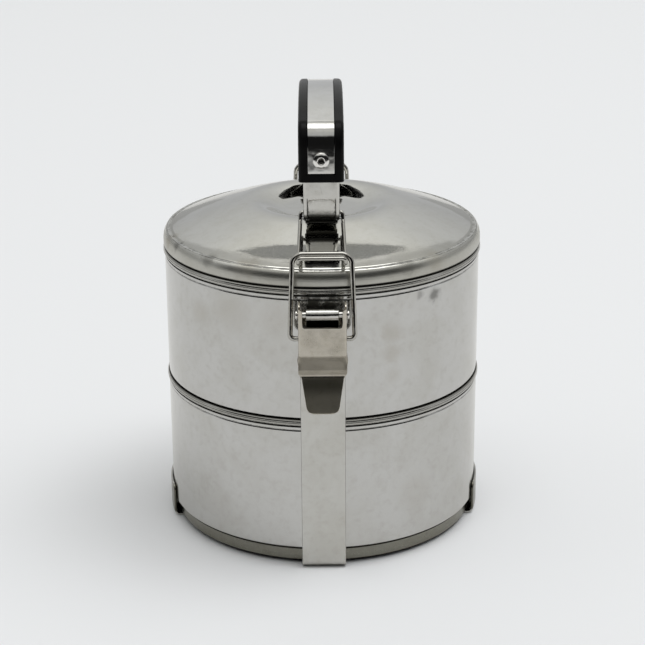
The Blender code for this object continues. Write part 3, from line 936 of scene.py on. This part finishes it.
def strap_half_width(z):
    """The strap narrows at rounded shoulders to its tongue."""
    if z > SHOULDER_HIGH:
        return TONGUE_HALF_WIDTH
    if z > SHOULDER_LOW:
        t = (z - SHOULDER_LOW) / 1.5
        return TONGUE_HALF_WIDTH + 2.7 * math.sqrt(max(0.0, 1 - t * t))
    return STRAP_HALF_WIDTH


def at_shoulder(a, b):
    upright = abs(abs(a[0]) - STRAP_OUT) < 0.05
    return upright and min(a[1], b[1]) > 105.0 and max(a[1], b[1]) < 112.5


def strap_mesh():
    """A long U under the bowls, with a curl round each hinge pin."""
    curl = arc(PIN_OUT, PIN_Z, 2.0, 150, -120, 30)
    front = [(-out, z) for out, z in curl[::-1]]
    front += [(-72.05, 115.3), (-71.9, 114.4), (-71.9, 113.0)]
    half = [(-STRAP_OUT, 112.0), (-STRAP_OUT, STRIP_HALF_THICK)]
    centre = fillet(half + flipped(half), [3.0, 3.0], steps=10)
    path = resample(front + centre + flipped(front), 2.0)
    path = refine(path, 8, at_shoulder)
    return ribbon(path, strap_half_width, STRIP_HALF_THICK, edge=0.22)


place("frame_strap_strip", strap_mesh(), "frame_strap", "frame", "strap")

# ------------------------------------------------------------------ cross strip
EAR_OUTER = 71.1  # outer face of the upturned ends
EAR_MID = 70.7  # mid-thickness
EAR_TOP, EAR_CORNER = 15.0, 3.0
EAR_FINE_FROM = 11.6  # closer rows from here up
CROSS_HALF_WIDTH = 18.8


def cross_half_width(z):
    """The ears' upper corners are rounded."""
    start = EAR_TOP - EAR_CORNER
    if z > start:
        t = min(1.0, (z - start) / EAR_CORNER)
        return CROSS_HALF_WIDTH - EAR_CORNER + EAR_CORNER * math.sqrt(max(0.0, 1 - t * t))
    return CROSS_HALF_WIDTH


def cross_strip_mesh():
    half = fillet(
        [(0.0, 1.5), (49.5, 1.5), (56.5, 0.4), (EAR_MID, 0.4), (EAR_MID, EAR_TOP)],
        [6.0, 6.0, 2.0], steps=8,
    )
    right = resample(half[:-1], 3.0)
    right += [(EAR_MID, z) for z in spread(right[-1][1], EAR_FINE_FROM, 6)]
    right += [(EAR_MID, z) for z in spread(EAR_FINE_FROM, EAR_TOP, 12)]
    path = flipped(right[1:]) + right
    mesh = ribbon(path, cross_half_width, STRIP_HALF_THICK, edge=0.2, plane="XZ", across=16)
    for vert in mesh.vertices:
        # the ends follow the round wall
        x, y = vert.co.x / MM, vert.co.y / MM
        curve = EAR_OUTER - math.sqrt(EAR_OUTER**2 - y * y)
        vert.co.x -= math.copysign(curve * smooth_step(50.0, 66.0, abs(x)) * MM, x)
    return smoothed(mesh, sharp=40)


place(
    "base_cross_strip_sheet", cross_strip_mesh(), "base_cross_strip", "frame",
    "cross",
)

# ------------------------------------------------------------------ hinge pins
PIN_RADIUS, PIN_HEAD_RADIUS = 1.3, 1.9
PIN_HALF_LENGTH, PIN_HEAD_FROM = 11.2, 10.3


def pin_mesh():
    half = [
        (0, PIN_HALF_LENGTH), (PIN_HEAD_RADIUS, PIN_HALF_LENGTH),
        (PIN_HEAD_RADIUS, PIN_HEAD_FROM), (PIN_RADIUS, PIN_HEAD_FROM),
    ]
    other_half = [(r, -z) for r, z in half[::-1]]
    profile = fillet(half + other_half, [0.45, 0.15, 0.08, 0.08, 0.15, 0.45], steps=5)
    mesh = revolve(profile, 48)
    along_x = Matrix.Rotation(math.pi / 2, 4, "Y")
    mesh.transform(Matrix.Translation((0, -PIN_OUT * MM, PIN_Z * MM)) @ along_x)
    return mesh


place_pair(pin_mesh(), "hinge_pin", "steel", "frame", "pin")

# ------------------------------------------------------------------ levers
SHEET_THICKNESS = 0.9  # levers and bracket
LEVER_HALF_WIDTH, LEVER_BEND = 9.55, 1.0
LEVER_FLAT = LEVER_HALF_WIDTH - LEVER_BEND
LEVER_ARC = LEVER_BEND * math.pi / 2
LEVER_TOP, LEVER_JOIN = 121.3, 101.4  # the plate with the window lies between these heights
WINDOW_HALF, WINDOW_BOTTOM, WINDOW_CORNER_Z = 8.2, 113.5, 115.8
TAB_END = 77.45
TAB_CORNER = 2.6


def web_out(z):
    return 80.05 + 0.42 * (LEVER_TOP - z) / (LEVER_TOP - 100.6)


def bent(x, out, angle, distance):
    """(x, out) at a distance past the flat web, on sheet bent back by angle degrees."""
    turn = math.radians(angle)
    along = min(distance, LEVER_ARC)
    if turn < 1e-3:
        step_x, step_in = along, 0.0
    else:
        radius = LEVER_ARC / turn
        t = along / radius
        step_x, step_in = radius * math.sin(t), radius * (1 - math.cos(t))
    extra = distance - along
    return x + step_x + extra * math.cos(turn), out - step_in - extra * math.sin(turn)


def lever_row(out, z, columns):
    """(x, out) across the lever at one height below the window plate."""
    angle = 90.0 * smooth_step(94.6, 100.6, z)
    depth = 4.7 * smooth_step(97.2, 101.6, z)
    flat, lip = LEVER_FLAT, LEVER_ARC
    if z <= 94.0:
        # ledge to tab: the edge lip fades, and the tab tapers to a rounded end
        k = smooth_step(94.0, 91.6, z)
        edge = 8.85 + (6.75 - 8.85) * max(0.0, (92.4 - z) / 13.2)
        flat += (edge - 0.7 - flat) * k
        lip += (0.7 - lip) * k
        if z < TAB_END + TAB_CORNER:
            flat -= corner_loss(TAB_END + TAB_CORNER - z, TAB_CORNER) * 0.96
    side = [bent(flat, out, angle, lip * j / 3) for j in (3, 2, 1)]
    outer = [side[0], side[0]]
    if depth > 1e-3:
        outer = [bent(flat, out, angle, lip + depth * part) for part in (1.0, 0.5)]
    side = outer + side
    middle = [(column * flat, out) for column in columns]
    return [(-x, o) for x, o in side] + middle + side[::-1]


def lever_mesh():
    """Mid-surface of the pressed lever: a web with a window, folded sides, ledge and tab."""
    bm = bmesh.new()

    def vert(x, out, z):
        return bm.verts.new((x * MM, -out * MM, z * MM))

    # the window's lower outline; every column of the sheet starts at one of its points
    half = [(-WINDOW_HALF, WINDOW_CORNER_Z), (-WINDOW_HALF, WINDOW_BOTTOM)]
    sill = fillet(half + flipped(half), [2.3, 2.3], steps=6)
    sill = sill[1:8] + [(x, WINDOW_BOTTOM) for x in (-3.0, 0.0, 3.0)] + sill[8:-1]
    columns = [-1] + [x / LEVER_FLAT for x, z in sill] + [1]

    # (out, z) down from the window plate over the facet, the ledge and the tab
    low = [
        (web_out(LEVER_JOIN), LEVER_JOIN), (80.47, 100.6), (81.01, 95.3),
        (81.05, 92.6), (85.45, TAB_END),
    ]
    grid = []
    for out, z in resample(fillet(low, [1.6, 1.2, 1.4], steps=5), 0.85):
        grid.append([vert(x, o, z) for x, o in lever_row(out, z, columns)])
    for a, b in zip(grid, grid[1:]):
        for i in range(len(a) - 1):
            quad = (a[i], a[i + 1], b[i + 1], b[i])
            # where there is no flange the outer columns coincide
            if len({tuple(round(c, 7) for c in corner.co) for corner in quad}) >= 3:
                bm.faces.new(quad)

    # the bends beside the window plate
    heights = [LEVER_JOIN] + spread(LEVER_JOIN, WINDOW_CORNER_Z, 8)
    heights += spread(WINDOW_CORNER_Z, LEVER_TOP, 4)
    left, right = [], []
    for z in heights:
        for rows, sign in ((left, -1), (right, 1)):
            bend = [bent(LEVER_FLAT, web_out(z), 90.0, LEVER_ARC * j / 3) for j in range(4)]
            rows.append([vert(sign * x, out, z) for x, out in bend])
    for rows in (left, right):
        for a, b in zip(rows, rows[1:]):
            bridge(bm, a, b)

    # below the window: one tall face under each run of its outline
    over = [vert(x, web_out(z), z) for x, z in sill]
    under = [vert(x, web_out(LEVER_JOIN), LEVER_JOIN) for x, z in sill]
    bridge(bm, under, over)

    # beside the window
    for rows, sign, foot, corner in ((left, -1, under[0], over[0]), (right, 1, under[-1], over[-1])):
        bm.faces.new([row[0] for row in rows[:9]] + [corner, foot])
        jamb = [corner] + [vert(sign * WINDOW_HALF, web_out(z), z) for z in heights[9:]]
        bridge(bm, [row[0] for row in rows[8:]], jamb)

    # folded sides, rounded over the hinge pin
    back_edge = fillet([(74.1, LEVER_JOIN), (73.25, 103.3), (73.2, 122.0)], [2.5], steps=4)
    crest = arc(PIN_OUT, PIN_Z, 5.75, 122.6, 52.0, 12)
    top_out = bent(LEVER_FLAT, web_out(LEVER_TOP), 90.0, LEVER_ARC)[1]
    link = [(top_out, LEVER_TOP), (top_out - 0.5, LEVER_TOP + 0.12), crest[-1]]
    link = fillet(link, [0.4], steps=3)[1:-1]
    first = grid[0]
    for sign, rows, flange in ((-1, left, first[:2]), (1, right, [first[-1], first[-2]])):
        x = sign * LEVER_HALF_WIDTH
        over_pin = [vert(x, out, z) for out, z in link + crest[::-1]]
        # the two end vertices of the back edge stay loose
        back = [vert(x, out, z) for out, z in back_edge[::-1]]
        bottom = [vert(x, -edge.co.y / MM, LEVER_JOIN) for edge in flange]
        bm.faces.new([row[3] for row in rows] + over_pin + back[1:-1] + bottom)
    cuts = [
        cross_bar(1.4, -PIN_OUT, PIN_Z, reach=13, sides=32),
        cross_bar(1.16, -BAIL_OUT, BAIL_Z, reach=13, sides=24),
    ]
    return sheet("lever", bm, SHEET_THICKNESS, bevel=0.3, cuts=cuts)


place_pair(lever_mesh(), "lever", "pressing", "latch_{}", "lever")


# ------------------------------------------------------------------ wires
def mirrored(points):
    """A 3-D path ending at X = 0, carried on over its mirror image."""
    return points + [(-x, y, z) for x, y, z in points[-2::-1]]


def bail_mesh():
    right = fillet(
        [
            (8.3, -BAIL_OUT, BAIL_Z), (13.4, -BAIL_OUT, BAIL_Z),
            (12.1, -72.0, 142.5), (0.0, -72.0, 142.5),
        ],
        [1.9, 4.5], steps=12,
    )
    return tube(mirrored(right), 1.05, sides=24)


def hook_mesh():
    """A link from the bracket, dipping into a cup just before its cross bar."""
    arm = fillet(
        [
            (5.9, -HOOK_OUT, HOOK_Z), (8.9, -HOOK_OUT, HOOK_Z),
            (9.0, -41.7, 147.4), (9.6, -71.5, 138.85),
        ],
        [1.2, 1.5], steps=8,
    )
    cup = [(9.6, -out, z) for out, z in arc(72.35, 141.3, 2.6, 256, 322, 10)]
    tip = [cup[-1], (9.55, -74.9, 140.9), (8.6, -75.0, 141.5), (0.0, -75.0, 141.5)]
    tip = fillet(tip, [0.9, 0.9], steps=6)
    return tube(mirrored(arm[:-1] + cup[:-1] + tip), 0.87, sides=22)


place_pair(bail_mesh(), "bail", "wire", "bail_{}", "wire")
place_pair(hook_mesh(), "hook_link", "wire", "hook_{}", "wire")


# ------------------------------------------------------------------ handle
def crown_z(y):
    return 195.3 - 5.2 * (y / 38.0) ** 2


def leg_bend(y, z, radius, angles):
    """Points round a bend of the front leg, angles in degrees up from the front."""
    turns = [math.radians(angle) for angle in angles]
    return [(y - radius * math.cos(t), z + radius * math.sin(t)) for t in turns]


# (y, z): the leg bends over in two radii, wide below and tight above
FRONT_HALF = [(-46.1, 165.6)]
FRONT_HALF += leg_bend(-32.1, 179.8, 14.0, [4 * k for k in range(8)])
FRONT_HALF += leg_bend(-38.46, 183.18, 6.8, [28.0 + 4.94 * k for k in range(1, 11)])
FRONT_HALF += [(y, crown_z(y)) for y in [-34.0] + spread(-34.0, 0.0, 12)[:-1]]
ARCH = FRONT_HALF + [(0.0, crown_z(0.0))] + flipped(FRONT_HALF)


def rivet_holes(out, reach):
    return [
        bar(2.2, (0, end * out - reach, RIVET_Z), (0, end * out + reach, RIVET_Z), 40)
        for end in (-1, 1)
    ]


# Grip section, across by height from the arch; positive is outwards
GRIP_HALF, GRIP_INNER = 9.55, 7.85
GRIP_TOP, GRIP_BOTTOM, GRIP_CEILING = 1.0, -8.2, -1.8
RECESS_HALF, RECESS_DEPTH = 5.8, 0.94
# (inset, push) of the rows that round off each end
GRIP_END_ROWS = ((0.4, 0.0), (0.17, -0.08), (0.05, -0.2))


def grip_mesh():
    """A channel along the arch, its outer face recessed for the band except at the ends."""
    path = refine(resample(ARCH, 1.5), 6, lambda a, b: min(a[1], b[1]) < 171.0)
    leans = normals(path)

    def row(i, inset=0.0, push=0.0):
        point = slid(path, i, push)
        left, stretch = leans[i]
        top, bottom = GRIP_TOP - inset, GRIP_BOTTOM + inset
        recess = RECESS_DEPTH * (1 - smooth_step(169.0, 169.3, point.y))
        inner = GRIP_INNER + inset
        half = [
            (-inner, bottom), (-GRIP_HALF + inset, bottom), (-GRIP_HALF + inset, top),
            (-RECESS_HALF, top), (-RECESS_HALF, min(recess, top - 0.03)),
        ]
        ceiling = [(inner, GRIP_CEILING + inset), (-inner, GRIP_CEILING + inset)]
        shrink = 1.0 - min(0.8, inset / 0.6)
        radii = [0.5 * shrink, 0.7 * shrink, 2.1, 0.45 * shrink, 0.02]
        radii += radii[::-1] + [0.4, 0.4]
        ring = fillet(half + flipped(half) + ceiling, radii, steps=6, closed=True)
        return [
            (x, point.x + left.x * b * stretch, point.y + left.y * b * stretch) for x, b in ring
        ]

    rows = [row(0, inset, push) for inset, push in GRIP_END_ROWS]
    rows += [row(i) for i in range(1, len(path) - 1)]
    rows += [row(len(path) - 1, inset, push) for inset, push in GRIP_END_ROWS[::-1]]
    return drilled("handle_grip_moulding", skin(rows), rivet_holes(45.4, reach=3.2))


place("handle_grip_moulding", grip_mesh(), "handle_grip", "handle", "black")

BAND_END_Z = 169.4
BAND_HALF_WIDTH = 5.55


def band_mesh():
    """The metal band in the grip's recess."""
    middle = [point for point in offset(ARCH, 0.475) if point[1] > BAND_END_Z + 0.5]
    front = [(middle[0][0], BAND_END_Z)]
    path = resample(front + middle + flipped(front), 1.5)
    mesh = ribbon(path, lambda z: BAND_HALF_WIDTH, half_thick=0.325, edge=0.14)
    return drilled("handle_band_inlay", mesh, rivet_holes(46.5, reach=2.0))


place("handle_band_inlay", band_mesh(), "handle_band", "handle", "band")

BRACKET_HALF_WIDTH, BRACKET_BEND = 7.15, 0.85
BRACKET_FLAT = BRACKET_HALF_WIDTH - BRACKET_BEND
BRACKET_ARC = BRACKET_BEND * math.pi / 2
BRACKET_OUT = 43.4
LEG_TOP = 158.1
FOOT_END = 36.0
FOOT_CORNER = 2.0
# (y, z) up the front leg: along the sides, and along the sunken middle of the web
LEG_SIDE = [(-43.35, 149.0), (-43.4, 153.5), (-BRACKET_OUT, LEG_TOP)]
LEG_MIDDLE = [(-42.15, 149.0), (-42.85, 153.5), (-BRACKET_OUT, LEG_TOP)]


def leg_rows(corners):
    """Five points on each run, without the last corner."""
    return [
        tuple(Vector(a).lerp(Vector(b), k / 5))
        for a, b in zip(corners, corners[1:])
        for k in range(5)
    ]


def bracket_mesh():
    """Mid-surface of the bracket: web, folded sides and turned-under feet."""
    leg_top = [(-BRACKET_OUT, LEG_TOP)]
    upper = resample(leg_top + offset(ARCH, -2.6) + flipped(leg_top), 1.6)
    side_leg, middle_leg = leg_rows(LEG_SIDE), leg_rows(LEG_MIDDLE)
    side_path = side_leg + upper + flipped(side_leg)
    middle_path = middle_leg + upper + flipped(middle_leg)
    bm = bmesh.new()

    def vert(x, y, z):
        return bm.verts.new((x * MM, y * MM, z * MM))

    # (x, depth) round the bend, from the side to the web
    bend = []
    for j in (3, 2, 1, 0):
        t = (BRACKET_ARC * j / 3) / BRACKET_BEND
        bend.append((BRACKET_FLAT + BRACKET_BEND * math.sin(t), BRACKET_BEND * (1 - math.cos(t))))
    grid = []
    for (y, z), middle, (left, _) in zip(side_path, middle_path, normals(side_path)):
        row = [vert(-x, y - left.x * depth, z - left.y * depth) for x, depth in bend]
        row += [vert(x, *middle) for x in (-5.45, -3.6, -1.8, 0.0, 1.8, 3.6, 5.45)]
        row += [vert(x, y - left.x * depth, z - left.y * depth) for x, depth in bend[::-1]]
        grid.append(row)
    for a, b in zip(grid, grid[1:]):
        bridge(bm, a, b)

    # feet, as wide as the channel, with rounded ends
    foot = fillet(
        [(-FOOT_END, 146.15), (-39.6, 146.15), (-41.9, 147.2), (-42.15, 149.0)],
        [2.5, 2.0], steps=6,
    )
    for end, start in ((-1, grid[0]), (1, grid[-1])):
        last = start[3:12]
        for y, z in foot[-2::-1]:
            half = BRACKET_FLAT + 0.55 * smooth_step(148.6, 147.4, z)
            reach = abs(y) - FOOT_END
            if reach < FOOT_CORNER:
                half -= corner_loss(FOOT_CORNER - reach, FOOT_CORNER) * 0.96
            near_edge = 5.45 * half / 6.85
            columns = (-half, -near_edge, -3.6, -1.8, 0.0, 1.8, 3.6, near_edge, half)
            row = [vert(x, end * abs(y), z) for x in columns]
            bridge(bm, last, row)
            last = row

    # folded sides
    inner = [point for point in offset(ARCH, -7.0) if point[1] > LEG_TOP + 0.5]
    rail = fillet(
        [
            (-41.6, 148.7), (-38.7, 148.7), (-37.3, 151.5), (-37.9, LEG_TOP),
            (inner[0][0], LEG_TOP + 6.0),
        ],
        [0.6, 1.5, 2.0], steps=5,
    )
    inner = [point for point in inner if point[1] > LEG_TOP + 7.0]
    inside_path = rail[1:] + inner + flipped(rail)[:-1]
    for i, x in ((0, -BRACKET_HALF_WIDTH), (-1, BRACKET_HALF_WIDTH)):
        inside = [vert(x, y, z) for y, z in inside_path]
        bm.faces.new([row[i] for row in grid] + inside[::-1])
    cuts = rivet_holes(BRACKET_OUT, reach=1.6)
    cuts += [cross_bar(0.92, end * HOOK_OUT, HOOK_Z, reach=10, sides=24) for end in (-1, 1)]
    return sheet("handle_bracket_channel", bm, SHEET_THICKNESS, bevel=0.18, cuts=cuts)


place(
    "handle_bracket_channel", bracket_mesh(), "handle_bracket", "handle",
    "bracket",
)

# ------------------------------------------------------------------ rivets
RIVET_OUT = 46.08
# (radius, distance outwards) from the hollow of the head to the inner end
RIVET_PROFILE = [
    (0, -0.9), (1.25, -0.9), (1.25, 2.05), (1.6, 2.2), (2.6, 2.05), (3.3, 1.7), (3.5, 1.05),
    (2.0, 1.05), (2.0, -3.35), (2.9, -3.35), (2.9, -4.1), (0, -4.1),
]
RIVET_RADII = [0.05, 0.25, 0.5, 0.8, 0.35, 0.12, 0.1, 0.1, 0.25, 0.3]


def rivet_mesh():
    mesh = revolve(fillet(RIVET_PROFILE, RIVET_RADII, steps=5), 56)
    outwards = Matrix.Rotation(math.pi / 2, 4, "X")
    mesh.transform(Matrix.Translation((0, -RIVET_OUT * MM, RIVET_Z * MM)) @ outwards)
    return mesh


place_pair(rivet_mesh(), "rivet", "tube", "handle", "rivet")


# ------------------------------------------------------------------ render settings
scene = bpy.context.scene
scene.view_settings.view_transform = "Standard"
scene.view_settings.look = "None"
scene.cycles.use_denoising = True
scene.cycles.max_bounces = 10
scene.cycles.glossy_bounces = 8
scene.cycles.diffuse_bounces = 3
scene.cycles.sample_clamp_indirect = 8.0
scene.cycles.blur_glossy = 0.3


# ------------------------------------------------------------------ world
def room_tone(tree):
    """The room's colour by direction."""
    dx, dy, dz = tree.split(tree.node("ShaderNodeTexCoord").outputs["Generated"])
    # dark low down in front
    dark = tree.times(tree.span(dy, -0.12, -0.34), tree.span(dz, 0.55, 0.44))
    # pale behind, brightening upwards in two stages, and dimmer towards the front
    rise = tree.span(dz, 0.18, 0.60, kind="LINEAR")
    tone = tree.mix(rise, (0.54, 0.546, 0.552), (0.76, 0.764, 0.75))
    tone = tree.mix(tree.span(dz, 0.56, 0.80), tone, (0.98, 0.975, 0.93))
    dim = tree.times(tree.span(dy, -0.10, -0.45), 0.45)
    tone = tree.mix(dim, tone, (0.25, 0.25, 0.24))
    # a grey ceiling panel behind the object between two curved edges; u and v are the
    # direction's sideways and backward slopes
    height = tree.math("MAXIMUM", dz, 0.05)
    u = tree.math("DIVIDE", dx, height)
    v = tree.math("DIVIDE", dy, height)
    curve = tree.times(u, u)
    near = tree.minus(v, tree.plus(0.585, tree.times(curve, 2.2)))
    far = tree.minus(tree.plus(0.71, tree.times(curve, 1.35)), v)
    inside = tree.math("MINIMUM", near, far)
    # the ceiling is shaded on the near side of the panel, and the panel has a darker rim
    shade = tree.times(tree.span(near, 0.0, -0.05), tree.span(v, 0.34, 0.46))
    tone = tree.mix(tree.times(shade, 0.5), tone, (0.30, 0.30, 0.285))
    panel = tree.span(inside, -0.006, 0.004)
    rim = tree.times(panel, tree.span(inside, 0.014, 0.004))
    tone = tree.mix(panel, tone, (0.37, 0.373, 0.363))
    tone = tree.mix(rim, tone, (0.20, 0.202, 0.195))
    return tree.mix(dark, tone, (0.010, 0.010, 0.010))


def build_world():
    """The camera sees a plain pale backdrop; everything else sees the room."""
    world = bpy.data.worlds.new("studio")
    scene.world = world
    tree = Tree(world)
    backdrop = tree.filled("ShaderNodeBackground", (0.855, 0.871, 0.888))
    room = tree.filled("ShaderNodeBackground", room_tone(tree), 1.0)
    seen = tree.node("ShaderNodeLightPath").outputs["Is Camera Ray"]
    picked = tree.mix_shaders(seen, room, backdrop)
    tree.filled("ShaderNodeOutputWorld", picked.outputs[0])


# ------------------------------------------------------------------ floor
FLOOR_SEEN, FLOOR_BOUNCED = 0.742, 0.68  # brightness to the camera, and to other rays


def floor_material():
    """Matt floor that reflections see go dark some way in front."""
    material = bpy.data.materials.new("floor")
    tree = Tree(material)
    beyond = tree.filled("ShaderNodeEmission", (0.012, 0.012, 0.012), 1.0)
    place_y = tree.split(tree.node("ShaderNodeNewGeometry").outputs["Position"])[1]
    ends = tree.span(place_y, -0.58, -0.79)
    light = tree.node("ShaderNodeLightPath").outputs
    colour = tree.mix(
        light["Is Camera Ray"],
        (FLOOR_BOUNCED, FLOOR_BOUNCED, FLOOR_BOUNCED),
        (FLOOR_SEEN * 0.985, FLOOR_SEEN, FLOOR_SEEN * 1.03),
    )
    matt = tree.filled("ShaderNodeBsdfDiffuse", colour)
    picked = tree.mix_shaders(tree.times(ends, light["Is Glossy Ray"]), matt, beyond)
    tree.filled("ShaderNodeOutputMaterial", picked.outputs[0])
    return material


def build_floor():
    mesh = bpy.data.meshes.new("floor")
    bm = bmesh.new()
    bmesh.ops.create_grid(bm, x_segments=8, y_segments=8, size=6.0)
    bm.to_mesh(mesh)
    bm.free()
    floor = put("floor", mesh)
    floor.location = (0, 0, -0.00025)
    mesh.materials.append(floor_material())


build_world()
build_floor()


# ------------------------------------------------------------------ lights, in metres and watts
def area_light(name, size, power, location, target):
    lamp = bpy.data.lights.new(name, "AREA")
    lamp.shape = "RECTANGLE"
    lamp.size, lamp.size_y = size
    lamp.energy = power
    obj = bpy.data.objects.new(name, lamp)
    scene.collection.objects.link(obj)
    obj.location = location
    obj.rotation_mode = "QUATERNION"
    obj.rotation_quaternion = (Vector(target) - Vector(location)).to_track_quat("-Z", "Y")
    return obj


area_light(
    "softbox_above", size=(4.63, 2.89), power=75.0,
    location=(0.58, -0.43, 5.0), target=(0.58, -0.4299, 0.0),
)
room_light = area_light(
    "room_light", size=(8.0, 8.0), power=440.0, location=(5.2, 0.8, 11.0), target=(0, 0, 0.1)
)
room_light.visible_glossy = False

# ------------------------------------------------------------------ camera
CAMERA_PLACE = (0.04, -780.51, 367.33)
CAMERA_RIGHT = (0.99997, -0.0027, -0.0075)
CAMERA_AHEAD = (0.0, 0.9411, -0.3380)

camera = bpy.data.cameras.new("camera")
camera.lens = 101.77
camera.sensor_width = 36.0
camera.clip_start, camera.clip_end = 0.05, 50.0
camera_object = bpy.data.objects.new("camera", camera)
scene.collection.objects.link(camera_object)
right = Vector(CAMERA_RIGHT).normalized()
up = right.cross(Vector(CAMERA_AHEAD).normalized()).normalized()
ahead = up.cross(right).normalized()
pose = Matrix((right, up, -ahead)).transposed().to_4x4()
pose.translation = Vector(CAMERA_PLACE) * MM
camera_object.matrix_world = pose
scene.camera = camera_object
